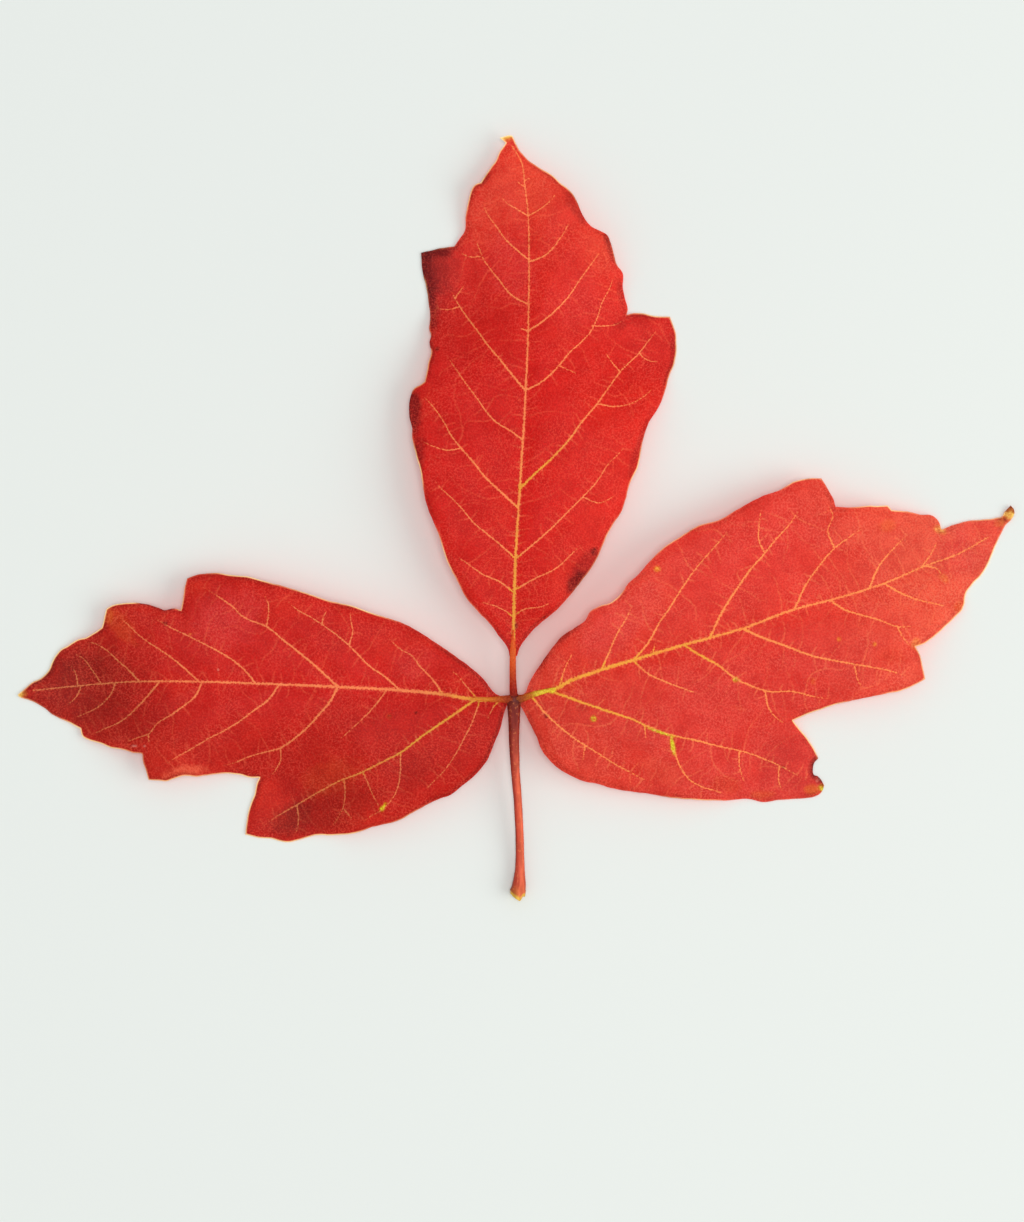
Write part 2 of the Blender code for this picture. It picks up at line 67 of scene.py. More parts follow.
# The solid blade's own form, which the fine blade keeps.
NOMINAL_HALF_WIDTH = 16.0
FOLD_RISE = 0.9
MARGIN_WAVE = 0.45
WAVES_PER_SIDE = 2.5
LOWEST_FORM = 0.15
REST_FLAT_RADIUS = 2.4
REST_BLEND_RADIUS = 15.0

# The fine blade: its thickness inside and at the margin, and how far it bulges between veins.
THICKNESS = 0.34
EDGE_THICKNESS = 0.17
LEAST_THICKNESS = 0.12
EDGE_TAPER = 1.2
EDGE_REACH = 2.5
QUILT = 0.28
QUILT_REACH = 1.7
QUILT_LIMIT = 6
WRINKLE = 0.1
RUFFLE = 0.16
RUFFLE_REACH = 2.2
RUFFLE_LENGTH = 4.3
TWIG_RIB = 0.14
TWIG_VALLEY = 0.07

# The smooth noises over the plan: the size of their features, and their seed.
NOISES = {
    "fine margin": (0.9, 1.7), "wide margin": (3.1, 4.1), "wide wrinkle": (3.2, 5.0),
    "fine wrinkle": (1.3, 6.0), "ruffle": (9.0, 8.0), "wide cloud": (1.5, 14.0),
    "fine cloud": (0.7, 15.0), "patchy": (3.6, 16.0), "rim": (6.5, 17.0), "wide tone": (7.0, 0),
    "fine tone": (3.0, 1), "warmth": (4.2, 2), "ragged": (0.8, 3), "brown line": (5.5, 5),
}
SEED_SPACING = 7.3

FINE_STEP = 0.225
MARGIN_STEP = 0.9
FINE_UNEVEN = 0.05
WIDE_UNEVEN = 0.06

# The blade's triangles: the rows beside the midrib and inside the margin, how far from the
# margin the other points stay, how close to a vein's points, in spacings, another one may lie,
# and how unevenly the grid between them is spaced.
MIDRIB_FLANK = (0.62, 0.34)
INNER_ROWS = (0.13, 0.3)
VEIN_CLEARANCE = 0.3
NET_CLEARANCE = 0.35
GRID_CLEARANCE = 0.42
ROW_CLEARANCE = 0.11
CLEARANCE_REACH = 1.0
CROWDING = 0.45
GRID_JITTER = 0.06
GRID_SEED = 11
SAME_POINT = 1e-4

# Each kind of vein: half width of its coloured line, ridge above, valley above, rib below, and
# the gap between the fine veins that leave it. The pairs are the values at its root and its end.
MIDRIB = {"line": (0.22, 0.09), "ridge": (0.17, 0.05), "valley": 0.16, "rib": (0.55, 0.2),
          "rib_width": (0.6, 0.3), "strength": (1.0, 0.72), "net_gap": 1.0}
MAIN = {"line": (0.14, 0.075), "ridge": (0.11, 0.03), "valley": 0.12, "rib": (0.36, 0.12),
        "rib_width": (0.42, 0.24), "strength": (1.0, 0.7), "net_gap": 1.25}
SECOND = {"line": (0.115, 0.07), "ridge": (0.08, 0.02), "valley": 0.1, "rib": (0.3, 0.1),
          "rib_width": (0.34, 0.22), "strength": (0.95, 0.6), "net_gap": 1.4}
BRANCH = {"line": (0.1, 0.07), "ridge": (0.03, 0.01), "valley": 0.05, "rib": (0.14, 0.05),
          "rib_width": (0.24, 0.18), "strength": (0.85, 0.5), "net_gap": 1.9}

# The drawn veins: the spacing of their points, how far they are felt, and how wide the colour,
# the gold, the ridge and the valley are in half widths of the line.
VEIN_STEP = 0.3
VEIN_REACH = 3.0
LINE_SPREAD = 1.5
GOLD_SPREAD = 3
RIDGE_SPREAD = 1.3
VALLEY_SPREAD = 2.6

# The net of fine veins: the spacing of points on the drawn veins and on its own, the cell of the
# search grid, how close another vein is met, the lengths to choose from with the one that counts
# as long, the strengths, how far around a fine vein points are sought, and its half width.
NET_ROOT_STEP = 0.25
NET_STEP = 0.3
NET_CELL = 0.5
NET_MEETS = 0.27
NET_LENGTHS = (0.7, 1.0, 1.3, 2.0, 4.0, 7.0)
NET_LONG = 1.6
NET_MIDRIB_SHARE = 0.75
NET_LONG_STRENGTH = (0.34, 0.68)
NET_SHORT_STRENGTH = 0.78
NET_SEARCH = 0.3
NET_HALF_WIDTH = 0.13

# A fine vein's turning in degrees: its lean at the root, and its bend and wander at each step.
NET_LEAN = 10
NET_BEND = 1.1
NET_WANDER = 9

# A leaflet's margin is made of runs with a corner after each, and its veins start at their root.
# "gold" is how far along a vein is golden, by the vein's number from the midrib's 0. A burnt
# spot is (x, y, radius), and so is a point of the stalklet. A patch is (kind, x, y, half width,
# half height, turn in degrees, strength).
END = {
    "node": "leaflet_end", "seed": 21, "cloud_seed": 11,
    "margin": [
        [(0.36, 5.3), (0.6, 6.1), (1.6, 7.6), (2.6, 8.7), (4.0, 9.9), (5.3, 11.0), (6.7, 12.6),
         (8.5, 14.8), (10.1, 17.3), (10.9, 19.3), (11.8, 21.0), (12.9, 22.7), (13.9, 25.9), (14.9, 28.1),
         (15.2, 29.9), (15.6, 31.6), (16.2, 33.3), (17.2, 34.9), (18.0, 36.6), (18.6, 38.6),
         (19.3, 40.4), (19.6, 42.0), (19.6, 43.5), (19.2, 45.3)],
        [(18.8, 46.2), (16.9, 46.3), (15.5, 46.6), (14.4, 46.6)],
        [(13.6, 46.4), (13.7, 47.0), (13.4, 48.4), (13.1, 49.9), (13.15, 50.5), (13.1, 51.3),
         (12.5, 52.1), (12.0, 53.6), (11.6, 54.8), (11.1, 55.8), (10.3, 56.3), (9.3, 56.8), (8.0, 58.6),
         (7.5, 59.8), (7.0, 60.8), (5.7, 61.9), (4.4, 63.1), (3.05, 63.9), (1.7, 64.9), (0.6, 66.2),
         (-0.1, 67.6)],
        [(-0.3, 68.0)],
        [(-1.7, 67.6)],
        [(-0.95, 67.0), (-1.7, 65.9), (-2.2, 64.8), (-2.8, 64.0)],
        [(-4.0, 62.2), (-4.4, 62.1), (-4.9, 61.7), (-5.3, 60.8), (-5.6, 59.6), (-5.8, 58.4),
         (-5.95, 56.4), (-6.5, 55.6)],
        [(-7.2, 54.7), (-8.1, 54.6), (-9.0, 54.5), (-10.0, 54.2)],
        [(-11.2, 53.9), (-11.1, 52.7), (-10.9, 51.1), (-10.6, 49.6), (-10.3, 47.8), (-10.1, 46.2),
         (-10.2, 44.6), (-10.0, 43.7), (-10.2, 43.1), (-10.0, 41.9), (-10.3, 40.4)],
        [(-10.7, 38.2), (-11.3, 37.8), (-11.9, 37.5), (-12.4, 36.6), (-12.6, 35.3), (-12.5, 33.8)],
        [(-12.2, 32.6), (-12.2, 31.3), (-11.8, 29.6), (-11.2, 27.4), (-10.8, 25.0), (-10.0, 22.2),
         (-9.0, 19.8), (-8.2, 17.0), (-7.0, 14.6), (-5.6, 12.1), (-4.1, 10.4), (-2.8, 9.05), (-1.6, 7.4),
         (-0.64, 6.0)],
        [(-0.56, 5.3)],
    ],
    "midrib": [(-0.15, 1.2), (-0.15, 3.5), (-0.1, 6.0), (0.2, 17.3), (0.7, 25.4), (1.4, 37.0),
               (1.7, 44.4), (1.8, 52.6), (1.7, 58.2), (1.3, 61.8), (0.9, 64.6), (-0.2, 66.6)],
    "main": [
        [(0.7, 25.3), (2.3, 26.9), (4.6, 29.0), (6.7, 31.3), (8.2, 33.4), (9.8, 35.3), (11.5, 37.7),
         (12.8, 39.5), (15.1, 41.8), (17.2, 44.5), (18.0, 45.3)],
        [(0.5, 23.0), (-1.9, 25.2), (-3.4, 26.6), (-4.8, 28.4), (-6.3, 30.1), (-7.6, 31.8), (-8.4, 33.3),
         (-10.0, 35.5), (-11.3, 36.8)],
        [(1.4, 37.0), (-0.3, 39.0), (-1.7, 40.8), (-3.2, 42.6), (-4.1, 43.9), (-5.4, 45.7), (-6.5, 47.3),
         (-7.2, 48.5), (-7.7, 50.0)],
    ],
    "second": [
        [(0.1, 13.2), (2.0, 14.3), (5.3, 16.0), (6.7, 17.3), (8.2, 18.8)],
        [(0.2, 16.9), (2.0, 18.4), (4.3, 20.4), (6.2, 22.3), (8.2, 24.3), (9.7, 25.9), (11.4, 28.4),
         (13.0, 30.1), (13.4, 31.3)],
        [(1.4, 37.1), (3.05, 37.9), (4.2, 38.8), (5.5, 40.2), (6.8, 41.8), (8.2, 43.1), (9.3, 44.4),
         (10.1, 46.2), (10.6, 47.8), (11.3, 49.1), (12.3, 51.6)],
        [(1.7, 44.2), (3.5, 45.4), (5.3, 47.0), (6.8, 48.7), (7.9, 50.4), (8.9, 51.8), (10.0, 53.3),
         (10.9, 54.4)],
        [(1.8, 52.6), (3.5, 53.2), (4.6, 54.1), (5.5, 55.3), (6.2, 56.4), (6.7, 57.6)],
        [(0.1, 12.8), (-1.6, 14.1), (-3.8, 15.1), (-5.5, 16.3), (-7.0, 17.3)],
        [(0.2, 16.9), (-1.4, 18.4), (-3.1, 19.8), (-4.8, 21.2), (-6.3, 23.0), (-7.8, 24.5), (-8.8, 25.4),
         (-9.7, 26.6)],
        [(1.05, 31.1), (-0.4, 32.2), (-2.2, 33.3), (-3.4, 34.6), (-4.2, 35.8), (-5.4, 37.4),
         (-7.2, 40.0), (-8.2, 41.5)],
        [(1.7, 47.5), (0.6, 48.0), (-0.5, 48.8), (-1.7, 50.4), (-2.8, 51.8), (-3.8, 53.3), (-4.2, 54.4),
         (-4.8, 55.8)],
        [(1.8, 52.8), (0.4, 54.0), (-0.8, 55.1), (-2.1, 56.9), (-3.2, 58.4), (-3.8, 59.8)],
        [(1.7, 44.2), (0.6, 44.6)],
    ],
    "branch": [
        [(0.0, 10.2), (1.3, 10.9), (3.3, 11.2), (4.7, 11.8)],
        [(-0.1, 10.0), (-1.4, 10.9), (-3.4, 11.6), (-4.3, 11.8)],
        [(8.2, 24.3), (10.2, 23.6), (12.1, 24.5)],
        [(10.0, 35.5), (12.0, 35.2), (13.8, 35.5), (16.0, 36.8), (16.9, 37.7)],
        [(15.1, 41.8), (16.0, 41.0), (17.5, 40.7)],
        [(12.7, 39.6), (11.8, 40.6), (11.0, 41.8)],
        [(9.4, 45.0), (10.9, 45.0), (12.2, 45.2), (13.2, 45.7)],
        [(5.5, 40.0), (6.8, 39.4), (7.7, 39.0)],
        [(1.7, 58.1), (2.8, 58.7), (4.2, 59.7), (5.2, 61.0)],
        [(1.3, 62.4), (2.2, 62.8)],
        [(-6.5, 30.1), (-8.0, 29.9), (-9.7, 30.4), (-11.3, 31.1)],
        [(-6.5, 47.4), (-8.1, 47.0), (-9.5, 47.3)],
        [(-7.1, 48.4), (-6.0, 50.0)],
        [(-4.1, 53.4), (-5.4, 53.4), (-6.5, 53.9)],
        [(1.7, 58.1), (0.4, 58.9), (-1.0, 59.8), (-1.6, 60.5)],
        [(1.3, 61.6), (0.24, 62.3)],
    ],
    "rest_spots": [(17.0, 44.0), (-9.3, 51.6)], "base_lift": 3.5, "tip_lift": 1.6, "arch": 2.3,
    "droop": {"left": 2.9, "right": 2.0}, "wave_phase": 0.1, "gold": {0: 0.55, 1: 0.5},
    "gold_base": 0.05, "vein_width": 1.1, "rim": 0.42,
    "burnt": [(-11.2, 53.2, 3.0), (-12.6, 35.0, 2.6), (-10.4, 43.0, 1.2)],
    "stalklet": [(0.0, 0.3, 0.5), (-0.08, 1.2, 0.46), (-0.13, 2.6, 0.4), (-0.15, 4.4, 0.38),
                 (-0.12, 6.0, 0.37), (-0.08, 7.2, 0.28), (-0.04, 8.4, 0.16)],
    "stalklet_colours": ((160, 44, 26), (232, 130, 54)), "colour": (213, 44, 38), "base": (199, 44, 37),
    "tip": (230, 87, 68), "left_side": (211, 46, 42), "right_side": (219, 57, 46),
    "patches": [
        ("dark", 7.4, 14.2, 0.85, 1.9, -38, 0.95), ("dark", 9.6, 17.8, 0.5, 0.6, 0, 0.95),
        ("black", 7.9, 14.9, 0.4, 0.9, -35, 0.8), ("black", 0.28, 8.9, 0.24, 0.5, 0, 0.95),
        ("black", 3.6, 10.0, 0.24, 0.24, 0, 0.8), ("maroon", -10.4, 51.4, 4.2, 4.6, 8, 0.5),
        ("maroon", -11.2, 51.0, 2.0, 4.2, 8, 0.85), ("maroon", -9.8, 54.2, 3.6, 1.3, 8, 0.8),
        ("maroon", -10.3, 47.0, 1.5, 3.8, 6, 0.8), ("maroon", -12.4, 34.8, 1.5, 3.4, 4, 0.9),
        ("maroon", -11.6, 28.6, 1.0, 4.0, -10, 0.6), ("black", -9.2, 42.2, 0.28, 0.34, 0, 0.85),
        ("dark", -10.6, 43.6, 0.5, 1.4, 0, 0.4), ("pale", 0.0, 22.0, 0.13, 0.13, 0, 0.9),
        ("straw", -1.0, 67.9, 1.1, 0.75, 0, 0.85), ("dark", -3.5, 62.6, 0.5, 1.2, -55, 0.5),
        ("dark", 11.3, 55.4, 0.5, 0.9, 20, 0.6), ("dark", 7.2, 60.6, 0.9, 0.5, -50, 0.45),
        ("peach", 1.0, 61.5, 5.6, 5.0, 0, 0.3), ("peach", -3.6, 57.0, 2.8, 3.8, 0, 0.22),
        ("peach", 10.4, 54.0, 2.6, 3.4, 30, 0.22), ("dark", 12.6, 45.2, 1.0, 0.6, 0, 0.25),
        ("maroon", 8.4, 15.8, 1.5, 3.6, -38, 0.5), ("maroon", 7.2, 59.2, 0.8, 2.8, 32, 0.5),
        ("maroon", 11.8, 53.8, 0.7, 2.6, 24, 0.5), ("maroon", 12.9, 48.8, 0.5, 2.0, 8, 0.4),
        ("maroon", 19.3, 41.0, 0.5, 4.4, 2, 0.4), ("maroon", 15.2, 31.0, 0.6, 5.0, -20, 0.4),
        ("painted_pink_sheen", -0.6, 52.0, 3.4, 5.0, 20, 0.24), ("painted_pink_sheen", 8.0, 48.0, 3.0, 4.0, -30, 0.12),
    ],
}

LEFT = {
    "node": "leaflet_left", "seed": 22, "cloud_seed": 8,
    "margin": [
        [(-0.6, 0.42), (-1.3, 0.42), (-1.9, 0.62), (-2.8, 1.4), (-3.7, 2.6), (-5.0, 3.8), (-7.2, 5.4),
         (-9.2, 6.8), (-11.5, 8.3), (-13.7, 9.4), (-16.6, 10.3), (-19.5, 11.3), (-21.7, 11.8),
         (-24.8, 12.8), (-27.3, 13.6), (-30.2, 14.3), (-31.7, 14.8), (-34.0, 15.0), (-35.3, 15.2),
         (-36.6, 15.2), (-38.2, 15.0)],
        [(-39.3, 14.6), (-39.6, 13.4), (-39.8, 11.9)],
        [(-40.0, 10.8), (-40.9, 11.0), (-42.0, 10.8), (-42.8, 11.1), (-44.2, 11.5), (-45.5, 11.7),
         (-47.1, 11.6), (-48.3, 11.3)],
        [(-49.0, 10.9), (-49.3, 9.7)],
        [(-49.6, 8.7), (-50.7, 8.0), (-51.6, 7.5), (-52.7, 7.2), (-53.8, 6.5), (-54.8, 5.9),
         (-55.7, 4.6), (-56.2, 3.5), (-57.1, 2.6), (-58.3, 2.0), (-59.2, 1.2)],
        [(-60.0, 0.5)],
        [(-59.6, 0.2), (-58.7, 0.0), (-57.6, -0.5), (-56.7, -1.0), (-55.7, -1.8), (-54.5, -2.4),
         (-53.1, -3.1)],
        [(-52.3, -3.5), (-52.0, -4.4), (-51.1, -4.9), (-49.8, -5.3), (-48.4, -5.8), (-47.1, -6.0),
         (-45.8, -6.4)],
        [(-44.7, -6.5), (-44.6, -7.5), (-44.3, -8.4)],
        [(-43.9, -9.6), (-42.8, -9.7), (-41.9, -9.8), (-40.9, -9.5), (-39.7, -9.1), (-38.2, -9.2),
         (-36.2, -9.0), (-34.6, -8.9), (-32.6, -9.2), (-32.0, -9.4)],
        [(-30.7, -9.4), (-31.0, -10.0), (-31.3, -11.3), (-31.8, -12.7), (-32.2, -14.4)],
        [(-32.4, -16.3), (-30.9, -16.7), (-29.3, -16.8), (-27.5, -17.2), (-25.5, -16.8), (-24.0, -16.4),
         (-22.2, -16.4), (-19.7, -16.1), (-18.4, -15.8), (-16.8, -15.2), (-15.0, -14.8), (-13.5, -14.3),
         (-11.9, -13.4), (-10.3, -12.5), (-8.8, -11.8), (-7.7, -11.4), (-6.1, -10.2), (-4.6, -8.9),
         (-3.4, -7.5), (-2.3, -5.0), (-1.6, -3.2), (-1.15, -1.3)],
        [(-0.75, -0.4)],
    ],
    "midrib": [(-1.15, 0.05), (-4.7, 0.1), (-8.4, 0.7), (-13.9, 1.2), (-21.2, 1.6), (-31.0, 2.0),
               (-37.7, 2.2), (-44.9, 2.2), (-52.1, 1.7), (-58.0, 1.1)],
    "main": [
        [(-4.6, 0.1), (-6.6, -1.3), (-8.8, -2.8), (-11.0, -4.3), (-13.5, -6.2), (-16.0, -7.5),
         (-18.6, -8.8), (-20.9, -9.7), (-23.3, -11.0), (-26.2, -12.7), (-28.9, -14.3), (-30.7, -15.6)],
        [(-21.1, 1.6), (-22.0, -0.1), (-23.5, -1.9), (-25.1, -3.6), (-26.6, -4.8), (-28.1, -5.8),
         (-30.0, -6.3), (-32.0, -6.9), (-33.7, -7.6), (-35.3, -8.0)],
        [(-21.1, 1.6), (-22.8, 3.2), (-24.6, 4.8), (-26.2, 6.1), (-27.5, 7.1), (-28.4, 7.9),
         (-29.6, 8.8), (-31.4, 9.5), (-32.6, 10.1), (-33.7, 11.2), (-35.0, 12.1), (-36.4, 13.0),
         (-37.5, 13.6)],
    ],
    "second": [
        [(-8.5, 0.7), (-10.1, 2.9), (-11.3, 4.1), (-12.1, 5.2), (-13.7, 6.2), (-15.0, 7.4)],
        [(-13.7, 1.2), (-15.2, 2.6), (-17.3, 4.1), (-18.6, 5.4), (-19.9, 6.7), (-21.2, 7.8),
         (-23.0, 9.1), (-24.4, 10.0), (-25.9, 10.8), (-27.6, 12.4)],
        [(-31.0, 2.0), (-32.2, 3.5), (-34.0, 5.0), (-35.9, 6.1), (-37.7, 7.0), (-39.5, 7.9),
         (-41.0, 8.6), (-42.6, 9.5), (-43.6, 10.1)],
        [(-37.8, 2.2), (-39.1, 3.4), (-41.0, 5.0), (-42.6, 6.1), (-44.0, 7.0), (-45.4, 8.1),
         (-46.4, 9.1), (-47.8, 10.2)],
        [(-45.1, 2.2), (-46.2, 3.4), (-47.8, 4.8), (-49.3, 6.1), (-50.6, 6.8), (-51.8, 7.0)],
        [(-28.1, 1.9), (-29.5, 0.0), (-31.4, -1.4), (-33.0, -2.6), (-34.8, -3.7), (-36.8, -4.7),
         (-38.6, -5.8), (-40.4, -6.8), (-42.2, -8.0)],
        [(-37.4, 2.2), (-38.2, 0.5), (-39.5, -0.6), (-41.0, -1.7), (-42.8, -2.8), (-43.9, -4.1),
         (-45.1, -4.5), (-47.1, -5.3)],
        [(-42.6, 2.2), (-44.0, 0.5), (-45.5, -1.1), (-47.3, -2.6), (-49.3, -3.5), (-51.1, -4.3)],
    ],
    "branch": [
        [(-4.6, 0.4), (-5.9, 1.9), (-6.8, 3.0), (-7.7, 3.7)],
        [(-49.8, 1.9), (-50.9, 3.6), (-52.0, 5.0), (-53.2, 5.6)],
        [(-52.6, 1.7), (-52.9, 3.2), (-53.5, 4.2)],
        [(-4.1, 0.0), (-5.0, -2.6), (-6.1, -4.8), (-7.2, -6.8), (-8.5, -8.6), (-10.1, -10.2),
         (-11.3, -11.5)],
        [(-1.8, 0.0), (-2.8, -1.4), (-3.2, -2.6)],
        [(-13.6, -6.2), (-13.6, -8.4), (-13.9, -10.4), (-14.8, -12.1), (-15.9, -13.2), (-17.0, -13.8),
         (-18.4, -14.9)],
        [(-20.4, -9.6), (-20.3, -11.0), (-20.6, -13.1), (-21.3, -14.4), (-22.0, -15.4)],
        [(-20.4, -13.2), (-19.4, -14.4)],
        [(-26.2, -12.8), (-26.0, -14.4), (-26.2, -15.7), (-26.6, -16.4)],
        [(-18.1, -8.6), (-17.3, -10.4), (-16.6, -12.0), (-16.0, -13.0)],
        [(-15.2, 1.3), (-16.2, -0.1), (-17.8, -1.9), (-19.5, -3.5), (-21.2, -5.0)],
        [(-28.1, -5.9), (-28.1, -7.3), (-28.7, -8.4), (-29.3, -9.2)],
        [(-43.9, -4.1), (-43.8, -5.2)],
        [(-48.0, 2.0), (-48.7, 0.5), (-50.0, -0.8), (-51.8, -1.7), (-53.2, -2.3)],
        [(-52.2, 1.7), (-52.7, 0.5), (-54.0, -0.8)],
        [(-19.7, 6.7), (-19.3, 8.1), (-19.5, 9.5), (-19.6, 10.6)],
        [(-23.0, 9.0), (-22.8, 9.9), (-22.4, 10.8)],
        [(-29.6, 8.9), (-29.4, 10.1), (-29.4, 11.5), (-30.0, 12.8)],
    ],
    "rest_spots": [(-55.6, 1.6), (-29.6, -14.2)], "base_lift": 3.5, "tip_lift": 0.2, "arch": 1.7,
    "droop": {"left": 1.6, "right": 1.2}, "wave_phase": 0.35, "gold": {0: 0.2, 1: 0.95},
    "gold_base": 0.0, "vein_width": 1.2, "rim": 0.7, "burnt": [(-43.0, 10.9, 3.0)],
    "stalklet": [(-0.1, 0.1, 0.5), (-0.9, 0.12, 0.46), (-1.9, 0.1, 0.36), (-3.4, 0.1, 0.26),
                 (-5.2, 0.2, 0.15)],
    "stalklet_colours": ((190, 84, 40), (226, 164, 56)), "colour": (213, 54, 47), "base": (180, 25, 21),
    "tip": (172, 46, 32), "left_side": (188, 49, 36), "right_side": (194, 41, 37),
    "patches": [
        ("olive", -51.4, 1.6, 8.4, 5.6, 8, 0.42), ("olive", -51.6, 3.4, 4.2, 2.6, 20, 0.3),
        ("rust", -47.4, 8.9, 3.2, 1.4, -48, 0.55), ("orange", -48.8, 10.1, 0.7, 1.2, 0, 0.5),
        ("peach", -39.2, -8.5, 2.6, 0.75, 6, 0.75), ("peach", -41.4, -9.2, 1.2, 0.5, 0, 0.45),
        ("olive", -27.2, -14.4, 3.2, 2.0, 20, 0.55), ("olive", -22.0, -13.0, 7.0, 3.4, 14, 0.34),
        ("lime", -15.8, -13.0, 0.38, 0.34, 30, 0.9), ("black", -11.7, -1.5, 0.26, 0.24, 0, 0.85),
        ("rust", -14.95, -1.9, 0.4, 0.36, 0, 0.9), ("black", -14.9, -1.85, 0.18, 0.16, 0, 0.8),
        ("pale", -45.6, -5.5, 0.4, 0.14, 10, 0.6), ("pale", -44.4, -5.6, 0.12, 0.12, 0, 0.7),
        ("dark", -41.8, 9.2, 0.34, 0.34, 0, 0.85), ("yellow", -38.9, 7.9, 0.2, 0.14, 0, 0.7),
        ("straw", -60.0, 0.5, 1.5, 0.8, 25, 0.8), ("pale", -35.5, 3.6, 0.1, 0.1, 0, 0.6),
        ("warm", -30.0, -12.2, 2.2, 3.6, 30, 0.35), ("dark", -12.0, -8.6, 4.0, 2.2, 40, 0.22),
        ("dark", -45.4, -2.8, 6.0, 2.4, 35, 0.2), ("warm", -38.0, 13.4, 2.0, 1.2, 0, 0.35),
        ("dark", -20.0, -1.6, 7.0, 2.4, 0, 0.14), ("orange", -22.0, -9.2, 4.4, 2.4, 20, 0.14),
        ("lime", -15.5, -12.6, 0.2, 0.5, -35, 0.9), ("painted_pink_sheen", -34.5, 9.6, 5.0, 4.2, 20, 0.3),
        ("painted_pink_sheen", -12.0, 4.4, 3.0, 2.4, 20, 0.14),
    ],
}

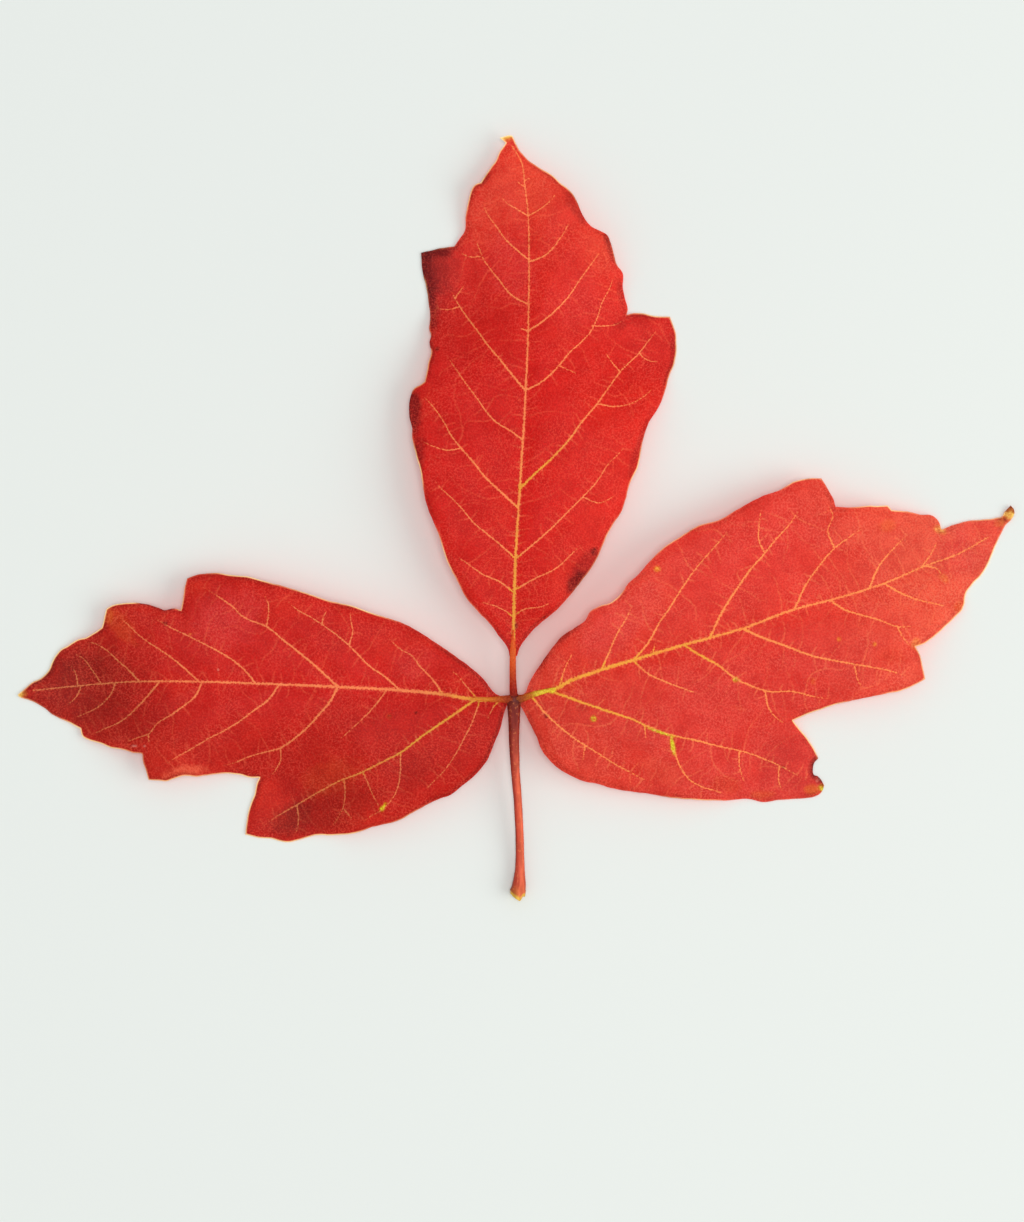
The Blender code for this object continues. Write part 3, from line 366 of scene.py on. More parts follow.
RIGHT = {
    "node": "leaflet_right", "seed": 23, "cloud_seed": 9,
    "margin": [
        [(0.7, 0.5), (1.3, 0.75), (1.7, 1.6), (2.1, 2.6), (3.1, 4.2), (4.2, 5.8), (5.5, 7.4), (7.1, 8.6),
         (8.5, 9.6), (9.2, 10.7), (10.1, 11.2), (11.7, 11.7), (12.8, 12.8), (13.6, 13.9), (14.9, 15.1),
         (16.3, 16.7), (17.6, 18.05), (19.5, 19.3), (22.2, 20.9), (24.4, 21.5), (27.0, 23.0),
         (28.7, 23.9), (30.0, 24.5), (31.9, 25.2), (33.6, 26.2), (35.2, 26.6)],
        [(36.9, 26.6), (37.6, 25.4), (38.3, 24.2)],
        [(38.6, 23.2), (40.3, 23.1), (42.5, 23.3)],
        [(44.9, 23.35)],
        [(45.4, 22.8), (47.3, 22.6), (48.9, 22.3), (50.6, 22.1), (51.2, 21.5)],
        [(51.6, 20.5), (52.9, 21.0), (54.6, 21.5), (56.5, 21.7), (58.3, 21.95), (58.9, 22.1)],
        [(59.15, 22.6), (59.5, 22.95)],
        [(59.9, 23.45)],
        [(60.25, 23.05), (60.37, 22.6), (60.0, 21.75), (59.3, 21.0), (58.8, 20.05), (58.1, 18.4),
         (57.2, 16.3), (56.5, 15.1), (55.4, 14.0), (54.4, 12.4), (54.3, 11.5)],
        [(54.0, 10.8), (52.7, 9.5), (51.1, 8.1), (48.9, 6.6)],
        [(48.2, 6.4), (48.8, 5.3), (49.1, 4.0)],
        [(49.4, 2.5), (48.1, 1.8), (46.4, 1.1), (44.0, 0.6), (41.4, 0.1), (38.9, -0.5), (36.2, -1.4)],
        [(33.6, -2.5), (34.4, -3.5), (35.5, -4.8), (36.2, -5.9)],
        [(36.7, -7.1), (36.2, -7.7), (36.1, -8.2), (36.25, -9.1)],
        [(36.65, -9.2), (37.0, -9.6), (37.25, -10.05)],
        [(37.4, -10.36), (37.25, -10.9), (36.9, -11.35), (36.2, -11.75), (35.3, -11.9), (33.6, -12.0),
         (31.9, -12.1), (30.2, -12.4), (28.4, -12.0), (25.7, -12.2), (23.0, -12.1), (21.1, -12.0),
         (19.0, -11.8), (16.3, -11.3), (13.6, -11.0), (11.7, -10.6), (10.1, -10.1), (8.2, -9.7),
         (6.3, -8.8), (5.0, -7.9), (3.4, -6.1), (2.7, -4.4), (1.8, -2.6), (1.1, -1.2)],
        [(0.6, -0.5)],
    ],
    "midrib": [(1.15, 0.1), (2.5, 0.8), (4.6, 1.2), (6.7, 2.3), (10.3, 3.6), (14.2, 4.8), (20.2, 6.6),
               (27.1, 8.5), (33.7, 10.9), (37.9, 12.0), (44.5, 14.0), (49.3, 16.0), (54.1, 17.8),
               (57.2, 19.6)],
    "main": [
        [(4.3, 1.1), (7.7, -0.1), (10.9, -1.2), (14.2, -2.3), (16.6, -3.4), (19.0, -4.2), (21.7, -4.8),
         (24.8, -5.6), (28.1, -6.4), (30.0, -7.1), (32.5, -8.2), (34.3, -9.2), (35.6, -9.9)],
        [(20.4, 6.6), (22.4, 5.3), (24.4, 4.2), (26.5, 2.6), (28.7, 1.6), (30.2, 1.1), (33.6, 1.0),
         (36.0, 0.4), (38.4, 0.1)],
        [(27.3, 8.6), (30.0, 7.4), (32.5, 6.5), (35.4, 5.4), (38.6, 4.7), (41.4, 4.2), (44.6, 3.6),
         (47.8, 2.7)],
        [(23.5, 7.6), (24.8, 10.4), (26.5, 13.1), (28.4, 15.8), (30.0, 17.6), (31.1, 19.0), (33.0, 21.1),
         (34.5, 23.3)],
    ],
    "second": [
        [(10.5, 3.7), (11.4, 5.8), (12.2, 7.7), (13.3, 9.6), (14.2, 11.4)],
        [(14.4, 4.9), (16.0, 6.8), (17.4, 9.3), (18.7, 11.2), (20.0, 13.3), (21.7, 15.7), (23.3, 17.6),
         (25.2, 19.8), (25.9, 20.9)],
        [(33.6, 10.9), (34.9, 13.7), (36.5, 16.0), (38.4, 18.2), (40.3, 19.6), (42.2, 20.9)],
        [(42.7, 13.5), (43.8, 16.0), (45.1, 17.6), (46.8, 19.3), (47.5, 19.9)],
        [(2.3, 0.2), (3.6, -1.4), (5.5, -3.2), (7.7, -4.9), (9.8, -6.2), (12.0, -7.6), (14.6, -9.0),
         (16.8, -10.2)],
        [(14.2, 4.8), (16.0, 3.2), (17.9, 2.3), (20.0, 1.5), (22.2, 0.7)],
        [(37.9, 12.0), (39.5, 10.9), (41.6, 10.2), (43.8, 9.6), (46.0, 8.8), (48.4, 8.9)],
        [(44.5, 14.0), (46.2, 13.0), (48.4, 12.1), (50.5, 11.6), (52.4, 11.2)],
        [(18.8, -4.2), (19.2, -6.1), (19.8, -7.7), (21.1, -9.6), (22.7, -10.5), (24.4, -11.0),
         (25.9, -11.7)],
    ],
    "branch": [
        [(5.5, 1.8), (6.0, 3.6), (7.1, 5.8)],
        [(30.0, 17.6), (29.3, 19.0), (29.3, 20.9), (29.6, 23.0)],
        [(38.4, 18.2), (37.6, 20.3), (38.2, 22.2), (37.6, 23.5)],
        [(49.2, 16.0), (50.3, 17.6), (51.1, 19.2)],
        [(15.6, -3.0), (15.8, -4.7)],
        [(27.1, -6.1), (27.2, -8.2), (27.8, -10.1)],
        [(32.0, -8.0), (32.0, -10.1), (32.5, -11.2)],
        [(8.5, -5.4), (8.2, -7.4)],
        [(30.1, 1.0), (30.6, -1.0), (31.7, -2.3), (32.8, -3.0)],
        [(40.8, 4.1), (41.2, 2.4), (41.9, 1.2)],
        [(46.0, 8.8), (46.8, 7.3), (47.6, 6.4)],
        [(49.7, 16.1), (51.1, 15.7), (51.8, 14.6)],
        [(16.6, 5.6), (16.9, 6.9)],
    ],
    "rest_spots": [(55.2, 17.6), (33.6, -9.8)], "base_lift": 3.5, "tip_lift": 0.2, "arch": 2.2,
    "droop": {"left": 0.6, "right": 1.9}, "wave_phase": 0.7,
    "gold": {0: 0.75, 1: 0.8, 2: 0.45, 13: 0.35}, "gold_base": 0.22, "vein_width": 1.28, "rim": 0.5,
    "burnt": [(59.9, 23.3, 1.2), (36.4, -8.8, 2.4)],
    "stalklet": [(0.1, 0.1, 0.5), (0.9, 0.2, 0.46), (1.9, 0.55, 0.38), (3.4, 0.98, 0.3), (5.0, 1.4, 0.18)],
    "stalklet_colours": ((170, 92, 40), (222, 196, 44)), "colour": (228, 92, 72), "base": (223, 93, 68),
    "tip": (240, 146, 106), "left_side": (230, 91, 77), "right_side": (222, 95, 79),
    "patches": [
        ("yellow", 17.1, 15.7, 0.45, 0.42, 0, 1.0), ("lime", 9.5, -2.2, 0.42, 0.42, 0, 1.0),
        ("rust", 9.5, -2.2, 0.15, 0.15, 0, 0.9), ("lime", 26.5, 2.5, 0.42, 0.36, 0, 1.0),
        ("black", 26.6, 2.5, 0.2, 0.2, 0, 0.8), ("yellow", 38.9, 7.3, 0.3, 0.3, 0, 0.8),
        ("yellow", 43.2, 6.7, 0.3, 0.3, 0, 0.8), ("lime", 19.0, -5.4, 0.3, 1.25, 10, 1.0),
        ("lime", 17.6, -3.85, 2.0, 0.2, -19, 1.0), ("black", 3.8, -1.9, 0.27, 0.27, 0, 0.9),
        ("black", 32.5, -8.1, 0.24, 0.24, 0, 0.85), ("dark", 6.6, 8.25, 2.8, 0.45, 42, 0.8),
        ("dark", 3.6, 5.1, 2.0, 0.5, 55, 0.75), ("rust", 59.2, 21.9, 1.4, 0.6, 60, 0.7),
        ("straw", 59.75, 22.6, 1.25, 1.1, 0, 0.95), ("straw", 58.6, 21.3, 0.8, 0.5, 20, 0.5),
        ("dark", 58.65, 21.95, 0.4, 0.16, 0, 0.95), ("dark", 59.2, 21.85, 0.14, 0.26, 20, 0.9),
        ("dark", 57.3, 21.6, 0.16, 0.2, 0, 0.7), ("painted_pink_sheen", 55.0, 18.6, 6.0, 3.4, 45, 0.35),
        ("straw", 51.8, 14.7, 0.9, 0.55, -40, 0.4), ("straw", 48.2, 6.7, 0.8, 0.8, 0, 0.4),
        ("orange", 44.9, 20.8, 1.3, 0.9, 20, 0.4), ("orange", 35.8, 2.3, 0.3, 0.5, 0, 0.5),
        ("orange", 30.0, -11.4, 1.8, 0.6, 0, 0.35), ("painted_pink_sheen", 12.6, 9.6, 7.0, 3.0, 42, 0.3),
        ("straw", 51.4, 20.5, 0.9, 0.6, -20, 0.6), ("peach", 17.6, -8.4, 3.4, 1.6, -20, 0.3),
        ("rust", 25.6, -10.2, 2.4, 1.2, -10, 0.4), ("yellow", 36.0, -10.9, 1.0, 0.8, 0, 0.4),
        ("lime", 37.1, -10.6, 0.5, 0.55, 15, 1.0), ("pale", 36.75, -9.65, 0.36, 0.42, 0, 1.0),
        ("dark", 36.2, -7.75, 0.16, 0.5, -30, 0.8), ("dark", 36.2, -8.9, 0.12, 0.7, 0, 0.7),
        ("dark", 36.9, -10.02, 0.4, 0.1, 0, 0.8), ("peach", 27.2, -1.0, 1.2, 0.35, -15, 0.4),
        ("orange", 53.8, 11.2, 1.0, 0.9, 0, 0.5), ("peach", 40.0, 20.0, 3.0, 1.8, 0, 0.2),
        ("peach", 50.0, 14.0, 6.0, 4.0, 20, 0.3), ("peach", 15.0, 12.5, 6.0, 4.0, 40, 0.2),
        ("peach", 56.4, 19.6, 3.0, 2.0, 50, 0.4), ("rust", 5.6, 1.4, 2.0, 0.9, 15, 0.45),
        ("lime", 4.6, 1.1, 0.5, 0.4, 15, 0.9), ("dark", 37.2, -9.6, 0.14, 0.4, 20, 0.8),
        ("dark", 36.6, -7.4, 0.2, 0.5, 0, 0.7), ("dark", 2.2, -3.8, 0.5, 2.0, 20, 0.4),
        ("rust", 45.6, 5.2, 2.4, 1.2, 0, 0.2), ("dark", 8.0, -1.0, 1.0, 0.6, 0, 0.25),
    ],
}

# What each kind of patch turns the blade to, in sRGB. The pink kind is painted sheen, a soft glow of light
# off parts of the blade; the other kinds are the blade's own colours.
PATCH_COLOURS = {
    "dark": (78, 20, 18), "black": (34, 14, 10), "maroon": (92, 20, 26), "olive": (112, 34, 20),
    "rust": (208, 86, 36), "peach": (244, 124, 88), "orange": (236, 138, 56),
    "yellow": (240, 178, 44), "lime": (206, 204, 14), "pale": (244, 214, 190),
    "warm": (232, 70, 44), "painted_pink_sheen": (238, 96, 96), "straw": (250, 212, 86),
}

# The colours of the net, the veins, the rim and the underside, in sRGB.
NET_COLOUR = (250, 108, 84)
TWIG_COLOUR = (252, 120, 82)
GOLD_TWIG_COLOUR = (255, 160, 104)
VEIN_COLOUR = (252, 148, 88)
GOLD_VEIN_COLOUR = (238, 178, 60)
FAINT_VEIN_COLOUR = (232, 92, 52)
RIM_COLOUR = (252, 224, 156)
UNDER_COLOUR = (224, 150, 124)
UNDER_VEIN_COLOUR = (208, 134, 86)

# What the blade's own colour is multiplied by in its dark flecks, in its net, and in the light
# that comes through it.
DARK_FLECK = (0.74, 0.45, 0.5, 1)
NET_TINT = (1.12, 2.8, 3.0, 1)
THROUGH_TINT = (1.16, 0.5, 0.37, 1)

# The blade's textures, in features per metre, and how far the net's cells are bent, in metres.
BEND_SCALE = 700.0
BEND = 0.0006
CELL_SCALE = 1150.0
FLECK_SCALE = 4200.0

# The leaflet's own stalk: the spacing of its rings, their sides, its height over the blade's
# form, how far it sinks, and the blade's values on it.
STALKLET_STEP = 0.16
STALKLET_SIDES = 20
STALKLET_RISE = 0.33
STALKLET_SINK = 0.12
STALKLET_VALUES = {"vein": 0.0, "gold": 0.0, "twig": 0.0, "edge": EDGE_REACH, "cloud": 0.6,
                   "patchy": 0.0, "rim": 0.0}

# The stalk's centre line from its top to its torn lower end: (x, y, height, radius).
STALK = [
    (0.0, 0.82, 3.75, 0.3), (0.0, 0.65, 3.75, 0.58), (0.0, 0.35, 3.75, 0.78),
    (0.0, -0.1, 3.73, 0.84), (0.0, -0.9, 3.66, 0.78), (0.0, -2.4, 3.48, 0.7),
    (0.0, -4.8, 3.15, 0.61), (0.15, -8.4, 2.6, 0.54), (0.45, -12.0, 2.06, 0.5),
    (0.65, -15.6, 1.55, 0.49), (0.72, -18.6, 1.18, 0.51), (0.7, -20.6, 1.0, 0.6),
    (0.62, -22.2, 0.93, 0.8), (0.5, -23.4, 0.95, 0.95), (0.46, -24.3, 0.95, 0.9),
]
STALK_SIDES = 40
FINE_RINGS = 260

# The rings added over the stalk's swollen top, and the rounds that smooth its centre line.
TOP_LENGTH = 1.2
TOP_RINGS = 24
SMOOTHING_ROUNDS = 6

# The stalk's knobs: (height as a share of the radius, features around, features along).
KNOBS = ((0.05, 2, 0.35), (0.035, 6, 0.8), (0.02, 3, 4))

# The groove along its top: its depth as a share of the radius, its half width as an angle, and
# where it reaches its full depth.
GROOVE = 0.16
GROOVE_WIDTH = 0.42
GROOVE_START = 2.5

# The stalk's torn end: how far it stands back at each place across, how ragged it is, the
# share of the stalk that it takes up, and where its middle lies beside its rim's.
TEAR_ACROSS = (-0.95, -0.5, 0.0, 0.28, 0.46, 0.6, 0.8, 1.0)
TEAR_BACK = (1.0, 0.5, 0.18, 0.02, 0.35, 0.62, 0.6, 0.85)
TEAR_RAGGED = 0.14
TEAR_SHARE = 0.075
TEAR_HOLLOW = (0, 0.35, 0)

# The stalk's colours, in sRGB. The light stripe is a painted highlight on the side towards the window, and
# the dark side colour is painted shade on the side away from it.
STALK_COLOURS = {
    "top": (124, 30, 20), "lower": (206, 72, 48), "end": (206, 116, 48), "painted_highlight_stripe": (238, 112, 72),
    "painted_shade_side": (112, 30, 22), "torn": (232, 196, 72), "knot": (84, 26, 16), "spots": (226, 128, 74),
}
STALK_DARKER = (0.55, 0.5, 0.5, 1)

# Edges sharper than this, in degrees, aren't shaded smooth.
SHARP_ANGLE = 62


def linear(colour):
    """An sRGB colour of 0 to 255 as linear values."""
    c = np.asarray(colour, float) / 255
    return np.where(c <= 0.04045, c / 12.92, ((c + 0.055) / 1.055) ** 2.4)


def blended(colour, target, amount):
    """Linear colours with an sRGB target mixed in by an amount for each."""
    amount = np.clip(amount, 0, 1)[:, None]
    return colour * (1 - amount) + linear(target)[None, :] * amount


def smoothstep(t):
    """0 up to t = 0, 1 from t = 1, and smooth between them."""
    t = np.clip(t, 0, 1)
    return t * t * (3 - 2 * t)


def bell(away, width):
    """1 where away is 0, and fading to nothing over about two widths."""
    return np.exp(-((away / width) ** 2))


def dome(away, width):
    """1 where away is 0, and 0 from the width on."""
    return np.clip(1 - (away / width) ** 2, 0, 1)


def between(ends, share):
    """The value at a share of the way from the first end to the second."""
    return ends[0] + (ends[1] - ends[0]) * share


def distances_along(line):
    """How far along the line each of its points is."""
    return np.concatenate([[0.0], np.cumsum(np.linalg.norm(np.diff(line, axis=0), axis=1))])


def closed(line):
    """The line with its first point once more at its end."""
    return np.vstack([line, line[:1]])


def curve_through(points, step):
    """Points about a step apart along the smooth curve through the given ones."""
    given = np.array(points, float)
    legs = np.diff(given, axis=0)
    lengths = np.linalg.norm(legs, axis=1)
    slopes = legs / lengths[:, None]
    shares = (lengths[:-1] / (lengths[:-1] + lengths[1:]))[:, None]
    inner = slopes[:-1] * (1 - shares) + slopes[1:] * shares
    tangents = np.vstack([slopes[:1], inner, slopes[-1:]])
    made = []
    for i, length in enumerate(lengths):
        count = max(1, round(length / step))
        t = (np.arange(count) / count)[:, None]
        made.append(
            (1 + 2 * t) * (1 - t) ** 2 * given[i]
            + t * (1 - t) ** 2 * length * tangents[i]
            + t**2 * (3 - 2 * t) * given[i + 1]
            + t**2 * (t - 1) * length * tangents[i + 1]
        )
    return np.vstack([*made, given[-1:]])


def margin_line(runs, step):
    """The margin through every run, as points. The last one isn't the first again."""
    following = runs[1:] + runs[:1]
    return np.vstack(
        [curve_through([*run, after[0]], step)[:-1] for run, after in zip(runs, following)]
    )


def nearest(points, line, reach=None):
    """Each point's distance from the line, the share of the line before that, and its side.
    With a reach, points further off than that may keep an endless distance."""
    legs = np.diff(line, axis=0)
    lengths = np.linalg.norm(legs, axis=1)
    starts = distances_along(line)
    distance = np.full(len(points), np.inf)
    along = np.zeros(len(points))
    side = np.ones(len(points))
    everywhere = np.arange(len(points))
    for start, leg, length, before in zip(line, legs, lengths, starts):
        pick = everywhere
        if reach is not None:
            low, high = np.minimum(start, start + leg), np.maximum(start, start + leg)
            pick = np.flatnonzero(((points > low - reach) & (points < high + reach)).all(axis=1))
        offset = points[pick] - start
        t = np.clip(offset @ leg / length**2, 0, 1)
        here = np.linalg.norm(offset - t[:, None] * leg, axis=1)
        closer = here < distance[pick]
        found = pick[closer]
        distance[found] = here[closer]
        along[found] = (before + t[closer] * length) / starts[-1]
        side[found] = np.sign(leg[0] * offset[closer, 1] - leg[1] * offset[closer, 0])
    return distance, along, side


def inside(points, ring):
    """Whether each point lies inside the closed ring."""
    found = np.zeros(len(points), bool)
    x, y = points.T
    for (x0, y0), (x1, y1) in zip(ring, np.roll(ring, -1, axis=0)):
        if y0 == y1:
            continue
        crosses = (y0 > y) != (y1 > y)
        found ^= crosses & (x < x0 + (y - y0) * (x1 - x0) / (y1 - y0))
    return found


def wander(points, name, shift=0):
    """The smooth noise of that name at each point, about -1 to 1. A shift gives another one."""
    size, seed = NOISES[name]
    level = (seed + shift) * SEED_SPACING
    return np.array([noise.noise(Vector((x / size, y / size, level))) for x, y in points])


def blade_height(leaflet, points):
    """The solid blade's underside without its ribs, how free each point is of the rest spots,
    and its distance from the midrib, its share along that and its side."""
    distance, along, side = nearest(points, curve_through(leaflet["midrib"], 1.0))
    across = distance / NOMINAL_HALF_WIDTH
    droop = np.where(side > 0, leaflet["droop"]["left"], leaflet["droop"]["right"])
    spine = (
        leaflet["base_lift"] * (1 - along)
        + leaflet["tip_lift"] * along
        + 4 * leaflet["arch"] * along * (1 - along)
    )
    wave = np.sin(2 * math.pi * (WAVES_PER_SIDE * along + leaflet["wave_phase"] + 0.25 * side))
    form = (
        spine
        + FOLD_RISE * np.sin(math.pi * np.minimum(across, 1.2))
        - droop * across**2
        + MARGIN_WAVE * wave * across
    )
    off = np.ones(len(points))
    for spot in leaflet["rest_spots"]:
        away = np.linalg.norm(points - np.array(spot), axis=1)
        off *= smoothstep((away - REST_FLAT_RADIUS) / (REST_BLEND_RADIUS - REST_FLAT_RADIUS))
    return np.maximum(form, LOWEST_FORM) * off, off, distance, along, side


def near_spots(points, spots):
    """How close each point is to the spots (x, y, radius): 1 at them and 0 well away."""
    found = np.zeros(len(points))
    for x, y, radius in spots:
        away = np.linalg.norm(points - np.array((x, y)), axis=1)
        found = np.maximum(found, 1 - smoothstep((away / radius - 0.6) / 0.4))
    return found


def vein_lines(leaflet, step):
    """Every drawn vein as its kind and its line, root first."""
    given = [(MIDRIB, leaflet["midrib"])]
    for kind, key in ((MAIN, "main"), (SECOND, "second"), (BRANCH, "branch")):
        given += [(kind, line) for line in leaflet[key]]
    return [(kind, curve_through(line, step)) for kind, line in given]


def net_lines(leaflet):
    """The fine veins, each as its path and its strength. Each leaves a larger vein at about a
    right angle and wanders until it meets another vein, another fine one or the margin, or just
    ends."""
    rng = random.Random(leaflet["seed"])
    veins = vein_lines(leaflet, NET_ROOT_STEP)
    taken = {}

    def key(x, y):
        return int(x // NET_CELL), int(y // NET_CELL)

    def add(x, y, owner):
        taken.setdefault(key(x, y), []).append((x, y, owner))

    def hit(x, y, own):
        i, j = key(x, y)
        for a in (i - 1, i, i + 1):
            for b in (j - 1, j, j + 1):
                for u, v, owner in taken.get((a, b), ()):
                    if owner not in own and (u - x) ** 2 + (v - y) ** 2 < NET_MEETS**2:
                        return u, v
        return None

    for number, (_, line) in enumerate(veins):
        for x, y in line:
            add(x, y, number)
    for x, y in margin_line(leaflet["margin"], NET_STEP):
        add(x, y, -1)
    made = []
    for number, (kind, line) in enumerate(veins):
        starts = []
        gap = kind["net_gap"]
        place = rng.uniform(0.4, 1.2)
        length = NET_ROOT_STEP * (len(line) - 1)
        while place < length - NET_STEP:
            for side in (1, -1):
                starts.append((place + rng.uniform(-0.4, 0.4) * gap, side))
            place += gap * rng.uniform(0.75, 1.35)
        for where, side in starts:
            i = int(min(max(where / NET_ROOT_STEP, 1), len(line) - 2))
            tangent = math.atan2(*(line[i + 1] - line[i - 1])[::-1])
            lean = rng.gauss(NET_LEAN if kind is MIDRIB else 0, NET_LEAN)
            heading = tangent + side * math.radians(90 - lean)
            x, y = line[i]
            me = len(veins) + len(made)
            longest = rng.choice(NET_LENGTHS)
            if kind is MIDRIB:
                longest *= NET_MIDRIB_SHARE
            path, going = [(x, y)], 0.0
            bend = rng.gauss(0, NET_BEND)
            while going < longest:
                heading += math.radians(bend + rng.gauss(0, NET_WANDER))
                x, y = x + NET_STEP * math.cos(heading), y + NET_STEP * math.sin(heading)
                going += NET_STEP
                met = hit(x, y, (number, me))
                if met:
                    path.append(met)
                    break
                path.append((x, y))
            if len(path) < 3 or (len(path) < 5 and met):
                continue
            for u, v in path[1:]:
                add(u, v, me)
            long = longest > NET_LONG
            strength = rng.uniform(*NET_LONG_STRENGTH) if long else NET_SHORT_STRENGTH
            made.append((np.array(path), strength))
    return made


def net_field(points, lines):
    """How strongly each point lies on a fine vein."""
    found = np.zeros(len(points))
    for path, strength in lines:
        low, high = path.min(axis=0) - NET_SEARCH, path.max(axis=0) + NET_SEARCH
        pick = np.flatnonzero(((points > low) & (points < high)).all(axis=1))
        if not len(pick):
            continue
        distance, along, _ = nearest(points[pick], path)
        here = np.clip(1 - distance / NET_HALF_WIDTH, 0, 1) * strength * (1 - 0.5 * along)
        found[pick] = np.maximum(found[pick], here)
    return found


def left_normals(tangents):
    """The unit directions to the left of the tangents."""
    tangents = tangents / np.linalg.norm(tangents, axis=1)[:, None]
    return np.column_stack([-tangents[:, 1], tangents[:, 0]])


def offset_rows(line, widths):
    """The line's crest, and rows of points beside it at each of the widths."""
    normals = left_normals(np.gradient(line, axis=0))
    rows = [line]
    for width in widths:
        taper = np.linspace(width[0], width[1], len(line))[:, None]
        rows += [line + normals * taper, line - normals * taper]
    return rows


def plan_mesh(leaflet, step, net):
    """The leaflet's plan as points and fine triangles, with rows of points along its margin and
    veins, and the margin itself."""
    margin = margin_line(leaflet["margin"], step * MARGIN_STEP)
    outline = closed(margin)
    normals = left_normals(np.roll(margin, -1, axis=0) - np.roll(margin, 1, axis=0))

    def clear_of_margin(points, distance):
        return points[nearest(points, outline, CLEARANCE_REACH)[0] > distance]

    # The margin is finely uneven, as a grown edge is.
    uneven = FINE_UNEVEN * wander(margin, "fine margin") + WIDE_UNEVEN * wander(margin, "wide margin")
    margin = np.clip(margin + normals * uneven[:, None], PLAN_LOW, PLAN_HIGH)
    points, edges = [*margin], [(i, (i + 1) % len(margin)) for i in range(len(margin))]
    rows = []
    for kind, line in vein_lines(leaflet, VEIN_STEP):
        line = clear_of_margin(line, VEIN_CLEARANCE)
        if len(line) < 3:
            continue
        widths = [kind["line"]]
        if kind is MIDRIB:
            widths.append(MIDRIB_FLANK)
        for row in offset_rows(line, widths):
            first = len(points)
            points += [*row]
            rows.append(row)
            edges += [(i, i + 1) for i in range(first, len(points) - 1)]
    crests = clear_of_margin(np.vstack([path for path, _ in net]), NET_CLEARANCE)
    rows.append(crests)
    points += [*crests]

    low, high = margin.min(axis=0), margin.max(axis=0)
    row_step = step * math.sqrt(3) / 2
    rng = np.random.default_rng(GRID_SEED)
    grid = np.array([
        (x + (step / 2 if i % 2 else 0), y)
        for i, y in enumerate(np.arange(low[1], high[1], row_step))
        for x in np.arange(low[0], high[0], step)
    ])
    grid = grid + rng.uniform(-GRID_JITTER, GRID_JITTER, grid.shape) * step
    grid = clear_of_margin(grid[inside(grid, margin)], GRID_CLEARANCE)
    rim = np.vstack([margin + normals * depth for depth in INNER_ROWS])
    rim = clear_of_margin(rim[inside(rim, margin)], ROW_CLEARANCE)
    crowd = np.vstack(rows)
    tree = kdtree.KDTree(len(crowd))
    for i, (x, y) in enumerate(crowd):
        tree.insert((x, y, 0), i)
    tree.balance()
    extra = np.vstack([rim, grid])
    points += [*extra[[tree.find((x, y, 0))[2] > CROWDING * step for x, y in extra]]]
    made = delaunay_2d_cdt([Vector(p) for p in points], edges, [], 1, SAME_POINT)
    return np.array([tuple(p) for p in made[0]]), np.array(made[2]), margin


def vein_fields(leaflet, points):
    """For each point: the veins' coloured line and its gold, the ridge and the valley above, the
    rib below, and how far it is from the veins that aren't branches."""
    fields = {key: np.zeros(len(points)) for key in ("line", "ridge", "rib", "valley")}
    fields["gold"] = np.full(len(points), leaflet["gold_base"])
    fields["apart"] = np.full(len(points), np.inf)
    for number, (kind, path) in enumerate(vein_lines(leaflet, VEIN_STEP)):
        distance, along, _ = nearest(points, path, VEIN_REACH)
        near = distance < VEIN_REACH
        away, share = distance[near], along[near]
        half = between(kind["line"], share) * leaflet["vein_width"]
        fade = 1 - smoothstep((share - 0.86) / 0.14) * (0.0 if kind is MIDRIB else 0.7)
        profile = np.clip(1 - away / (half * LINE_SPREAD), 0, 1)
        ridge, rib = between(kind["ridge"], share), between(kind["rib"], share)
        here = {
            "line": profile * between(kind["strength"], share) * fade,
            "ridge": ridge * fade * dome(away, half * RIDGE_SPREAD),
            "rib": rib * np.sqrt(dome(away, between(kind["rib_width"], share))),
            "valley": kind["valley"] * (1 - 0.6 * share) * bell(away, half * VALLEY_SPREAD),
        }
        if number in leaflet["gold"]:
            warmth = smoothstep(1.25 * (1 - share / leaflet["gold"][number]))
            here["gold"] = warmth * (away < half * GOLD_SPREAD)
        for key, values in here.items():
            fields[key][near] = np.maximum(fields[key][near], values)
        if kind is not BRANCH:
            fields["apart"] = np.minimum(fields["apart"], distance)
    return fields


